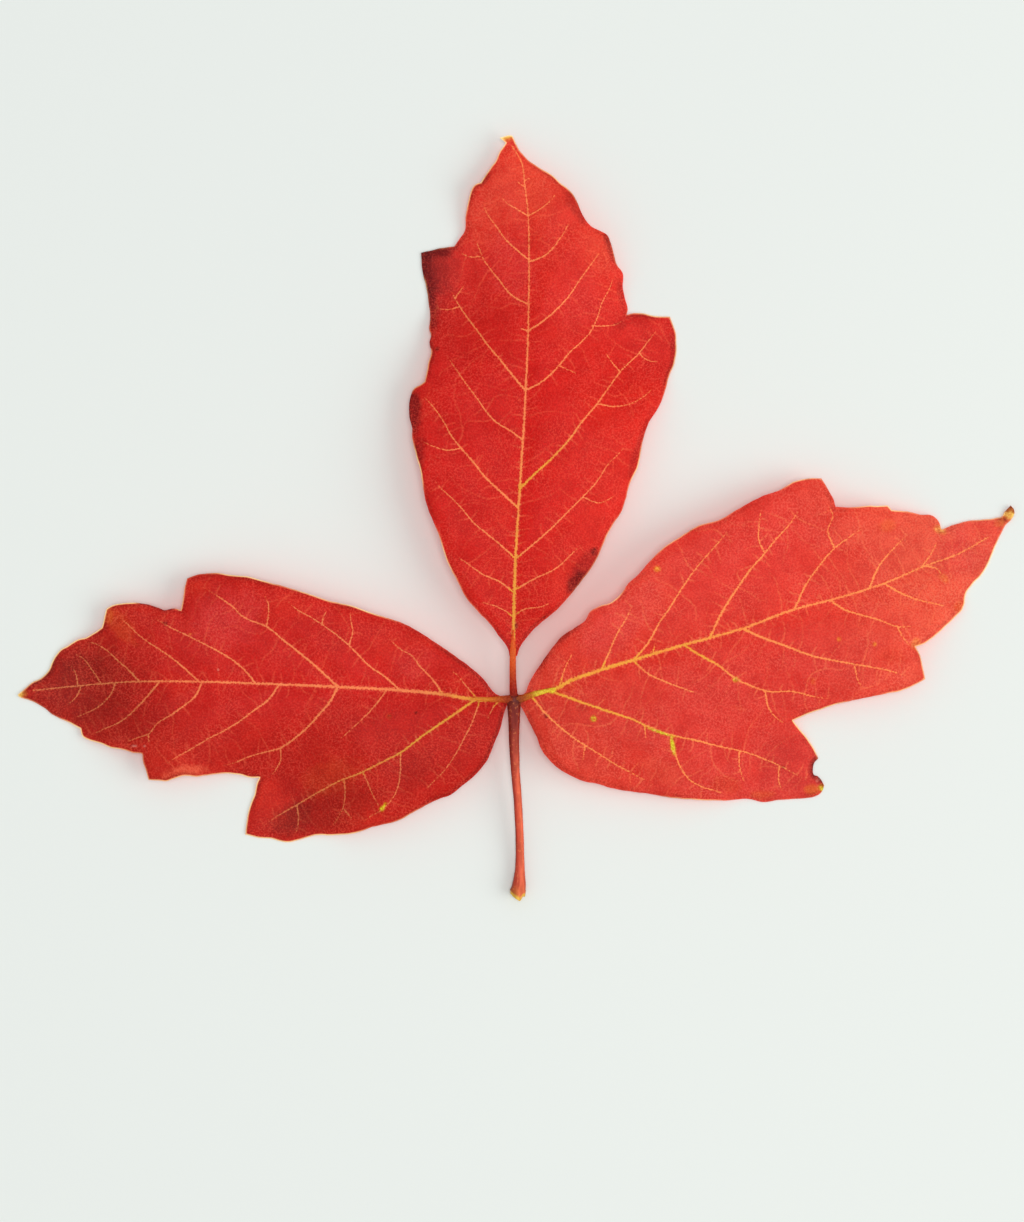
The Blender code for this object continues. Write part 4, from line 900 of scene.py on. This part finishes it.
def blade_colour(leaflet, points, along, side, across, edge):
    """The blade's colour at each point, in linear values, without veins and net: its own colour, with
    painted sheen in the pink patches.
    """
    seed = leaflet["cloud_seed"]
    colour = np.repeat(linear(leaflet["colour"])[None, :], len(points), axis=0)
    reach = smoothstep(across / 9.0)
    colour = blended(colour, leaflet["left_side"], 0.9 * np.where(side > 0, reach, 0))
    colour = blended(colour, leaflet["right_side"], 0.9 * np.where(side < 0, reach, 0))
    colour = blended(colour, leaflet["base"], 0.75 * (1 - smoothstep(along / 0.35)))
    colour = blended(colour, leaflet["tip"], 0.85 * smoothstep((along - 0.55) / 0.42))
    cloud = 0.6 * wander(points, "wide tone", seed) + 0.4 * wander(points, "fine tone", seed)
    colour *= (1 + 0.13 * cloud)[:, None]
    warmth = smoothstep(wander(points, "warmth", seed) * 1.6 - 0.1)
    colour = blended(colour, PATCH_COLOURS["warm"], 0.3 * warmth)
    colour = np.minimum(colour * PIGMENT, 1)
    speck = wander(points, "ragged", seed)
    # Patches of the blade's own colours, and the pink ones painted sheen.
    for kind, x, y, rx, ry, turn, strength in leaflet["patches"]:
        a = math.radians(turn)
        dx, dy = points[:, 0] - x, points[:, 1] - y
        u = (dx * math.cos(a) + dy * math.sin(a)) / rx
        v = (-dx * math.sin(a) + dy * math.cos(a)) / ry
        ragged = np.sqrt(u * u + v * v) + 0.28 * speck * (1 if max(rx, ry) > 0.5 else 0.3)
        amount = strength * (1 - smoothstep((ragged - 0.45) / 0.7))
        colour = blended(colour, PATCH_COLOURS[kind], amount)
    # A fine brown line runs just inside the pale rim, deeper on some stretches.
    stretch = smoothstep(wander(points, "brown line", seed) * 1.4 + 0.35)
    stretch = np.maximum(stretch, 1 - smoothstep(along / 0.3))
    colour = blended(colour, PATCH_COLOURS["dark"], 0.62 * stretch * bell(edge - 0.3, 0.2))
    burnt = near_spots(points, leaflet["burnt"])
    return blended(colour, PATCH_COLOURS["dark"], 0.85 * burnt * bell(edge, 0.13))


def tube(stations, sides):
    """A closed tube along the stations (x, y, height, radius): points and faces. The middles of
    its two ends are the last points."""
    line = np.array(stations, float)
    path, radius = line[:, :3], line[:, 3]
    tangents = np.gradient(path, axis=0)
    tangents /= np.linalg.norm(tangents, axis=1)[:, None]
    across = np.cross(tangents, (0, 0, 1))
    across /= np.linalg.norm(across, axis=1)[:, None]
    up = np.cross(across, tangents)
    turn = np.arange(sides) * 2 * math.pi / sides
    rings = (
        path[:, None, :]
        + radius[:, None, None] * np.cos(turn)[None, :, None] * across[:, None, :]
        + radius[:, None, None] * np.sin(turn)[None, :, None] * up[:, None, :]
    )
    points = [*rings.reshape(-1, 3), path[0], path[-1]]
    start, end = len(points) - 2, len(points) - 1
    last = (len(stations) - 1) * sides
    faces = []
    for low in range(0, last, sides):
        for j in range(sides):
            k = (j + 1) % sides
            faces.append((low + j, low + k, low + sides + k, low + sides + j))
    for j in range(sides):
        k = (j + 1) % sides
        faces += [(start, k, j), (end, last + j, last + k)]
    return np.array(points), faces


def add_values(mesh, name, values):
    """A value or a linear colour for each of the mesh's points, under that name."""
    values = np.asarray(values, np.float32)
    if values.ndim == 1:
        mesh.attributes.new(name, "FLOAT", "POINT").data.foreach_set("value", values)
    else:
        full = np.column_stack([values, np.ones(len(values), np.float32)])
        made = mesh.attributes.new(name, "FLOAT_COLOR", "POINT")
        made.data.foreach_set("color", full.astype(np.float32).ravel())


def finish_piece(name, node, points, faces, values, materials, kinds):
    """A mesh object from points in millimetres about the joint, riding the leaf in the place of
    the node. The kinds give each face's material."""
    mesh = bpy.data.meshes.new(name)
    placed = (np.asarray(points, float) + (JOINT[0], JOINT[1], 0)) * MM
    mesh.from_pydata(placed.tolist(), [], faces)
    mesh.update()
    for key, data in values.items():
        add_values(mesh, key, data)
    for material in materials:
        mesh.materials.append(material)
    mesh.polygons.foreach_set("material_index", np.asarray(kinds, np.int32))
    mesh.shade_smooth()
    mesh.set_sharp_from_angle(angle=math.radians(SHARP_ANGLE))
    piece = bpy.data.objects.new(name, mesh)
    bpy.context.scene.collection.objects.link(piece)
    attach(piece, "root")
    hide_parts(node)


def blade_levels(leaflet, plan, lie, edge, veins, twig):
    """The heights of the blade's upper and lower face at each point."""
    base, off, _, along, side = lie
    free = smoothstep(off * 1.6)
    length = distances_along(leaflet["midrib"])[-1]
    bulge = QUILT * (1 - bell(np.minimum(veins["apart"], QUILT_LIMIT), QUILT_REACH))
    bulge *= smoothstep(edge / 1.5)
    wrinkle = WRINKLE * wander(plan, "wide wrinkle")
    wrinkle += 0.4 * WRINKLE * wander(plan, "fine wrinkle")
    phase = 2 * math.pi * along * length / RUFFLE_LENGTH + side
    uneven = 0.6 + 0.8 * wander(plan, "ruffle")
    ruffle = RUFFLE * uneven * np.sin(phase) * bell(edge, RUFFLE_REACH)
    form = base + (bulge + wrinkle + ruffle) * free
    thick = between((EDGE_THICKNESS, THICKNESS), smoothstep(edge / EDGE_TAPER))
    rib = np.maximum(veins["rib"], TWIG_RIB * twig)
    valley = np.maximum(veins["valley"], TWIG_VALLEY * twig)
    below = np.maximum(form - rib * np.maximum(off, 0.12), 0)
    above = form + thick + (veins["ridge"] - valley) * np.maximum(free, 0.45)
    return np.maximum(above, below + LEAST_THICKNESS), below


def shell(triangles, count):
    """The blade's upper faces, its lower ones and its rim, with each face's material: 0 above
    and on the rim, 1 below."""
    top = [tuple(face) for face in triangles.tolist()]
    sides = dict.fromkeys(pair for face in top for pair in zip(face, face[1:] + face[:1]))
    rims = [(a, b) for a, b in sides if (b, a) not in sides]
    faces = top + [tuple(i + count for i in face[::-1]) for face in top]
    faces += [(b, a, a + count, b + count) for a, b in rims]
    return faces, [0] * len(top) + [1] * len(top) + [0] * len(rims)


def stalklet(leaflet):
    """The leaflet's own stalk, which joins the node and sinks into the midrib: its points, its
    faces and its colours."""
    given = np.array(leaflet["stalklet"])
    way = curve_through(given[:, :2], STALKLET_STEP)
    share = np.linspace(0, 1, len(way))
    spread = distances_along(given[:, :2])
    radius = np.interp(share * spread[-1], spread, given[:, 2])
    sink = STALKLET_SINK * smoothstep((share - 0.3) / 0.7)
    height = blade_height(leaflet, way)[0] + STALKLET_RISE - sink
    points, faces = tube(np.column_stack([way, height, radius]), STALKLET_SIDES)
    share = np.concatenate([np.repeat(share, STALKLET_SIDES), [0, 1]])
    root, blade_end = leaflet["stalklet_colours"]
    colour = np.repeat(linear(root)[None, :], len(points), axis=0)
    return points, faces, blended(colour, blade_end, smoothstep((share - 0.1) / 0.6))


def build_leaflet(leaflet, upper, under):
    """The leaflet: a thin blade with two faces, and its own stalk."""
    net = net_lines(leaflet)
    plan, triangles, margin = plan_mesh(leaflet, FINE_STEP, net)
    edge = np.minimum(nearest(plan, closed(margin), EDGE_REACH)[0], EDGE_REACH)
    lie = blade_height(leaflet, plan)
    _, _, across, along, side = lie
    veins = vein_fields(leaflet, plan)
    twig = net_field(plan, net)
    above, below = blade_levels(leaflet, plan, lie, edge, veins, twig)
    faces, kinds = shell(triangles, len(plan))
    stalk_points, stalk_faces, stalk_tint = stalklet(leaflet)
    first = 2 * len(plan)
    points = np.vstack([np.column_stack([plan, above]), np.column_stack([plan, below]),
                        stalk_points])
    faces += [tuple(i + first for i in face) for face in stalk_faces]
    kinds += [0] * len(stalk_faces)

    pale_rim = smoothstep(leaflet["rim"] + 1.3 * wander(plan, "rim"))
    pale_rim *= smoothstep((along - 0.08) / 0.2) * (1 - near_spots(plan, leaflet["burnt"]))
    blade_values = {
        "vein": veins["line"], "gold": veins["gold"], "twig": twig, "edge": edge,
        "cloud": 0.5 + 0.5 * wander(plan, "wide cloud") + 0.3 * wander(plan, "fine cloud"),
        "patchy": smoothstep(0.5 + 1.1 * wander(plan, "patchy")), "rim": pale_rim,
    }
    values = {
        key: np.concatenate([data, data, np.full(len(stalk_points), STALKLET_VALUES[key])])
        for key, data in blade_values.items()
    }
    tint = blade_colour(leaflet, plan, along, side, across, edge)
    values["tint"] = np.vstack([tint, tint, stalk_tint])
    node = leaflet["node"]
    name = node.replace("leaflet", "blade")
    finish_piece(name, node, points, faces, values, [upper, under], kinds)


def stalk_colour(down, around, length):
    """The stalk's colour at each share down it and each turn around it, in linear values, with a painted
    highlight and painted shade on its two sides.
    """
    colour = np.repeat(linear(STALK_COLOURS["top"])[None, :], len(down), axis=0)
    # A painted highlight runs along the upper side towards the window, and painted shade along the side
    # away from it.
    painted_highlight_stripe = bell(around - 2.15, 0.6) * smoothstep((down - 0.1) / 0.45)
    painted_shade_side = bell(around - 0.3, 0.65) + bell(around - 6.28, 0.4)
    amounts = {
        "lower": smoothstep((down - 0.06) / 0.5),
        "end": 0.8 * smoothstep((down - 0.9) / 0.08),
        "painted_highlight_stripe": 0.75 * painted_highlight_stripe,
        "painted_shade_side": 0.6 * np.minimum(painted_shade_side, 1),
        "torn": 0.8 * smoothstep((down - 0.972) / 0.02),
        "knot": 0.7 * bell(down * length - 0.9, 0.75),
    }
    for name, amount in amounts.items():
        colour = blended(colour, STALK_COLOURS[name], amount)
    return colour


def build_stalk(material):
    """The stalk: a grooved, slightly knobbly tube, swollen at the joint and torn at its end."""
    given = np.array(STALK)
    spread = distances_along(given[:, :3])
    where = spread[-1] * np.linspace(0, 1, FINE_RINGS)
    where = np.unique(np.concatenate([where, np.linspace(0, TOP_LENGTH, TOP_RINGS)]))
    path = np.column_stack([np.interp(where, spread, given[:, i]) for i in range(4)])
    for _ in range(SMOOTHING_ROUNDS):
        path[1:-1] = (path[:-2] + 2 * path[1:-1] + path[2:]) / 4
    points, faces = tube(path, STALK_SIDES)
    rings = len(path)
    body = points[:-2].reshape(rings, STALK_SIDES, 3)
    turn = np.arange(STALK_SIDES) * 2 * math.pi / STALK_SIDES
    down = where / where[-1]
    for i, s in enumerate(where):
        middle = path[i, :3]
        for j, a in enumerate(turn):
            rough = 0.0
            for height, around, along in KNOBS:
                place = (math.cos(a) * around, math.sin(a) * around, s * along)
                rough += height * noise.noise(Vector(place))
            groove = -GROOVE * bell(a - math.pi / 2, GROOVE_WIDTH)
            groove *= min(1, s / GROOVE_START) * (1 - 0.5 * down[i])
            scale = 1 + groove + rough * (1 + 1.2 * max(0, down[i] - 0.85) / 0.15)
            body[i, j] = middle + (body[i, j] - middle) * scale
    # The torn end is slanted and ragged: the last rings run on by unlike amounts.
    for j, a in enumerate(turn):
        ragged = TEAR_RAGGED * noise.noise(Vector((math.cos(a) * 5, math.sin(a) * 5, 3.3)))
        ragged += np.interp(body[-1, j, 0] - STALK[-1][0], TEAR_ACROSS, TEAR_BACK)
        body[:, j, 1] += ragged * smoothstep((down - (1 - TEAR_SHARE)) / TEAR_SHARE)
    body[..., 2] = np.maximum(body[..., 2], 0)
    points[:-2] = body.reshape(-1, 3)
    points[-1] = body[-1].mean(axis=0) + TEAR_HOLLOW

    shade = np.concatenate([np.repeat(down, STALK_SIDES), [0, 1]])
    around = np.concatenate([np.tile(turn, rings), [0, 0]])
    values = {"tint": stalk_colour(shade, around, where[-1])}
    finish_piece("stalk", "petiole", points, faces, values, [material], [0] * len(faces))


class Graph:
    """A material's nodes, made and joined by short calls."""

    def __init__(self, name):
        self.material = bpy.data.materials.new(name)
        self.material.use_nodes = True
        self.tree = self.material.node_tree
        self.shader = self.tree.nodes["Principled BSDF"]
        self.out = self.tree.nodes["Material Output"]

    def put(self, socket, value):
        """Links a socket's value, or sets a plain one."""
        if isinstance(value, bpy.types.NodeSocket):
            self.tree.links.new(value, socket)
        else:
            socket.default_value = value

    def add(self, kind, settings=(), **inputs):
        """A node with its settings and inputs."""
        made = self.tree.nodes.new(kind)
        for key, value in dict(settings).items():
            setattr(made, key, value)
        for key, value in inputs.items():
            self.put(made.inputs[key.replace("_", " ")], value)
        return made

    def value(self, name):
        return self.add("ShaderNodeAttribute", {"attribute_name": name}).outputs["Fac"]

    def colour(self, name):
        return self.add("ShaderNodeAttribute", {"attribute_name": name}).outputs["Color"]

    def place(self):
        return self.add("ShaderNodeTexCoord").outputs["Object"]

    def math(self, operation, *values):
        made = self.add("ShaderNodeMath", {"operation": operation})
        for socket, value in zip(made.inputs, values):
            self.put(socket, value)
        return made.outputs[0]

    def times(self, first, second):
        return self.math("MULTIPLY", first, second)

    def step(self, value, low, high, to_low=0.0, to_high=1.0):
        """The value from low to high, as a smooth step from to_low to to_high."""
        made = self.add("ShaderNodeMapRange", {"interpolation_type": "SMOOTHSTEP"})
        for socket, number in zip(made.inputs, (value, low, high, to_low, to_high)):
            self.put(socket, number)
        return made.outputs[0]

    def mix(self, amount, first, second, blend="MIX"):
        made = self.add("ShaderNodeMix", {"data_type": "RGBA", "blend_type": blend})
        self.put(made.inputs[0], amount)
        self.put(made.inputs[6], first)
        self.put(made.inputs[7], second)
        return made.outputs[2]

    def multiplied(self, first, second):
        return self.mix(1.0, first, second, "MULTIPLY")

    def noise(self, vector, scale, detail=2.0, roughness=0.5, flat=True):
        made = self.add(
            "ShaderNodeTexNoise", {"noise_dimensions": "2D" if flat else "3D"},
            Vector=vector, Scale=scale, Detail=detail, Roughness=roughness,
        )
        return made.outputs[0]

    def surface(self, colour, roughness, specular):
        self.put(self.shader.inputs["Base Color"], colour)
        self.put(self.shader.inputs["Roughness"], roughness)
        self.put(self.shader.inputs["Specular IOR Level"], specular)


def rgba(colour):
    """An sRGB colour of 0 to 255 as a socket takes it."""
    return (*linear(colour), 1.0)


def leaf_material(name, under=False):
    """The blade: its colour with some painted sheen, mottled, with a net of fine veins between the drawn
    ones.
    """
    g = Graph(name)
    place = g.place()
    vein, gold, edge = g.value("vein"), g.value("gold"), g.value("edge")
    cloud, patchy, tint = g.value("cloud"), g.value("patchy"), g.colour("tint")

    bend = g.add("ShaderNodeTexNoise", {"noise_dimensions": "2D"}, Vector=place,
                 Scale=BEND_SCALE, Detail=0.0)
    bent = g.mix(BEND, place, bend.outputs[1], "ADD")
    cells = g.add(
        "ShaderNodeTexVoronoi", {"feature": "DISTANCE_TO_EDGE", "voronoi_dimensions": "2D"},
        Vector=bent, Scale=CELL_SCALE,
    )
    net = g.step(cells.outputs["Distance"], 0.0, 0.1, 1.0, 0.0)
    fleck = g.noise(place, FLECK_SCALE, 1.5, 0.7)

    darker = g.multiplied(tint, DARK_FLECK)
    fine = g.mix(0.5, g.multiplied(tint, NET_TINT), rgba(NET_COLOUR))
    light_flecks = g.step(fleck, 0.49, 0.68, 0.0, g.step(patchy, 0.0, 1.0, 0.35, 0.75))
    colour = g.mix(g.step(cloud, 0.15, 0.8, 0.7, 0.0), tint, darker)
    colour = g.mix(g.step(fleck, 0.36, 0.5, 0.6, 0.0), colour, darker)
    colour = g.mix(light_flecks, colour, fine)
    colour = g.mix(g.times(net, g.step(patchy, 0.0, 1.0, 0.16, 0.42)), colour, fine)
    # Where the blade is dark, its veins are darker too.
    parts = g.add("ShaderNodeSeparateColor", Color=tint).outputs
    shade = g.step(parts[0], 0.25, 0.8, 0.6, 1.0)
    twig = g.step(g.value("twig"), 0.04, 0.55, 0.0, 0.9)
    twig_colour = g.mix(g.step(gold, 0.05, 0.2), rgba(TWIG_COLOUR), rgba(GOLD_TWIG_COLOUR))
    twig_colour = g.multiplied(g.mix(0.65, fine, twig_colour), shade)
    colour = g.mix(g.times(twig, g.step(fleck, 0.3, 0.6, 0.5, 0.95)), colour, twig_colour)

    # The veins' colour is beaded, and gives way on the yellow, green and black spots.
    spotless = g.times(g.step(parts[1], 0.3, 0.5, 1.0, 0.1), g.step(parts[0], 0.03, 0.14, 0.1, 1.0))
    beaded = g.math("SUBTRACT", vein, g.step(fleck, 0.35, 0.6, 0.34, 0.0))
    beaded = g.times(g.step(beaded, 0.08, 0.55, 0.0, 0.97), spotless)
    faint = g.step(cloud, 0.1, 0.5, 0.35, 0.0)
    vein_colour = g.mix(gold, rgba(VEIN_COLOUR), rgba(GOLD_VEIN_COLOUR))
    vein_colour = g.mix(faint, vein_colour, rgba(FAINT_VEIN_COLOUR))
    colour = g.mix(beaded, colour, g.multiplied(vein_colour, shade))
    rim = g.times(g.step(edge, 0.05, 0.2, 0.95, 0.0), g.value("rim"))
    colour = g.mix(rim, colour, rgba(RIM_COLOUR))
    if under:
        pale = g.mix(0.6, colour, rgba(UNDER_COLOUR))
        colour = g.mix(g.step(vein, 0.02, 0.4), pale, rgba(UNDER_VEIN_COLOUR))
    g.surface(colour, g.step(fleck, 0.3, 0.7, 0.48, 0.62), 0.22)
    bump = g.add("ShaderNodeBump", {"invert": not under}, Strength=0.5, Distance=0.00005, Height=net)
    g.put(g.shader.inputs["Normal"], bump.outputs[0])

    # Light comes through the blade, less so at its veins, its rim and its pale spots.
    light = g.multiplied(g.add("ShaderNodeGamma", Color=colour, Gamma=0.4).outputs[0], THROUGH_TINT)
    through = g.add("ShaderNodeBsdfTranslucent", Color=light)
    clear = g.times(g.step(parts[1], 0.3, 0.5, 1.0, 0.25), g.step(rim, 0.0, 1.0, 1.0, 0.3))
    share = g.times(g.step(beaded, 0.1, 0.9, 0.6, 0.27), clear)
    mixed = g.add("ShaderNodeMixShader")
    g.put(mixed.inputs[0], 0.96 if under else share)
    g.put(mixed.inputs[1], g.shader.outputs[0])
    g.put(mixed.inputs[2], through.outputs[0])
    g.put(g.out.inputs["Surface"], mixed.outputs[0])
    return g.material


def stalk_material():
    """The stalk: its colour with its painted highlight and shade, darker fibres along it and some light
    spots.
    """
    g = Graph("leaf_stalk")
    place, tint = g.place(), g.colour("tint")
    stretched = g.add("ShaderNodeMapping", Vector=place, Scale=(2600.0, 420.0, 2600.0))
    fibre = g.noise(stretched.outputs[0], 1.0, 4.0, 0.6, flat=False)
    spots = g.step(g.noise(place, 2600.0, flat=False), 0.58, 0.72)
    darker = g.multiplied(tint, STALK_DARKER)
    colour = g.mix(g.step(fibre, 0.3, 0.7, 0.0, 0.75), tint, darker)
    colour = g.mix(g.times(spots, 0.4), colour, rgba(STALK_COLOURS["spots"]))
    g.surface(colour, g.step(fibre, 0.3, 0.7, 0.45, 0.6), 0.2)
    bump = g.add("ShaderNodeBump", Strength=0.6, Distance=0.00008, Height=fibre)
    g.put(g.shader.inputs["Normal"], bump.outputs[0])
    return g.material


def build_floor():
    """The pale floor, a hair below the leaf."""
    far = FLOOR_REACH
    mesh = bpy.data.meshes.new("floor")
    corners = [(-far, -far, 0), (far, -far, 0), (far, far, 0), (-far, far, 0)]
    mesh.from_pydata(corners, [], [(0, 1, 2, 3)])
    floor = bpy.data.objects.new("floor", mesh)
    floor.location.z = FLOOR_LEVEL
    bpy.context.scene.collection.objects.link(floor)
    g = Graph("floor_paper")
    g.surface(g.mix(g.step(g.noise(g.place(), 5.0), 0.3, 0.7), *FLOOR_COLOURS), 0.9, 0.2)
    mesh.materials.append(g.material)


def build_lights():
    """The room's even light, with the window's and the ceiling's."""
    world = bpy.data.worlds.new("room")
    world.use_nodes = True
    background = world.node_tree.nodes["Background"]
    background.inputs["Color"].default_value = (1, 1, 1, 1)
    background.inputs["Strength"].default_value = WORLD_STRENGTH
    bpy.context.scene.world = world
    for name, place, size, power, colour in LAMPS:
        light = bpy.data.lights.new(name, "AREA")
        light.shape = "DISK"
        light.size = size
        light.energy = power
        light.color = colour
        lamp = bpy.data.objects.new(name, light)
        lamp.location = place
        aim = Vector(LAMP_AIM) - Vector(place)
        lamp.rotation_euler = aim.to_track_quat("-Z", "Y").to_euler()
        bpy.context.scene.collection.objects.link(lamp)


def build_camera():
    """The camera, straight above the middle of the picture."""
    lens = bpy.data.cameras.new("camera")
    lens.sensor_fit = "AUTO"
    lens.sensor_width = SENSOR
    lens.lens = LENS
    lens.clip_start, lens.clip_end = 0.01, 20
    camera = bpy.data.objects.new("camera", lens)
    x = JOINT[0] + (PICTURE_SIZE[0] / 2 - JOINT_PIXEL[0]) * PIXEL
    y = JOINT[1] + (JOINT_PIXEL[1] - PICTURE_SIZE[1] / 2) * PIXEL
    view_height = PICTURE_SIZE[1] * PIXEL * MM
    camera.location = (x * MM, y * MM, SCALE_HEIGHT * MM + view_height * LENS / SENSOR)
    scene = bpy.context.scene
    scene.collection.objects.link(camera)
    scene.camera = camera
    scene.view_settings.view_transform = "Standard"
    scene.view_settings.look = "None"


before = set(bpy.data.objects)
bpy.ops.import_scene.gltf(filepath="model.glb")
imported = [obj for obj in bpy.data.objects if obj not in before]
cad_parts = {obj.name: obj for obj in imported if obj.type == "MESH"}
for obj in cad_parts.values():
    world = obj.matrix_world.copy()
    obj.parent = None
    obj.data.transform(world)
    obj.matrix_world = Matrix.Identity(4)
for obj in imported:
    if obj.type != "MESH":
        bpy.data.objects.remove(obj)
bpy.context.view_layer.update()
build_floor()
build_lights()
build_camera()
upper = leaf_material("blade_upper")
under = leaf_material("blade_under", under=True)
for leaflet in (END, LEFT, RIGHT):
    build_leaflet(leaflet, upper, under)
build_stalk(stalk_material())
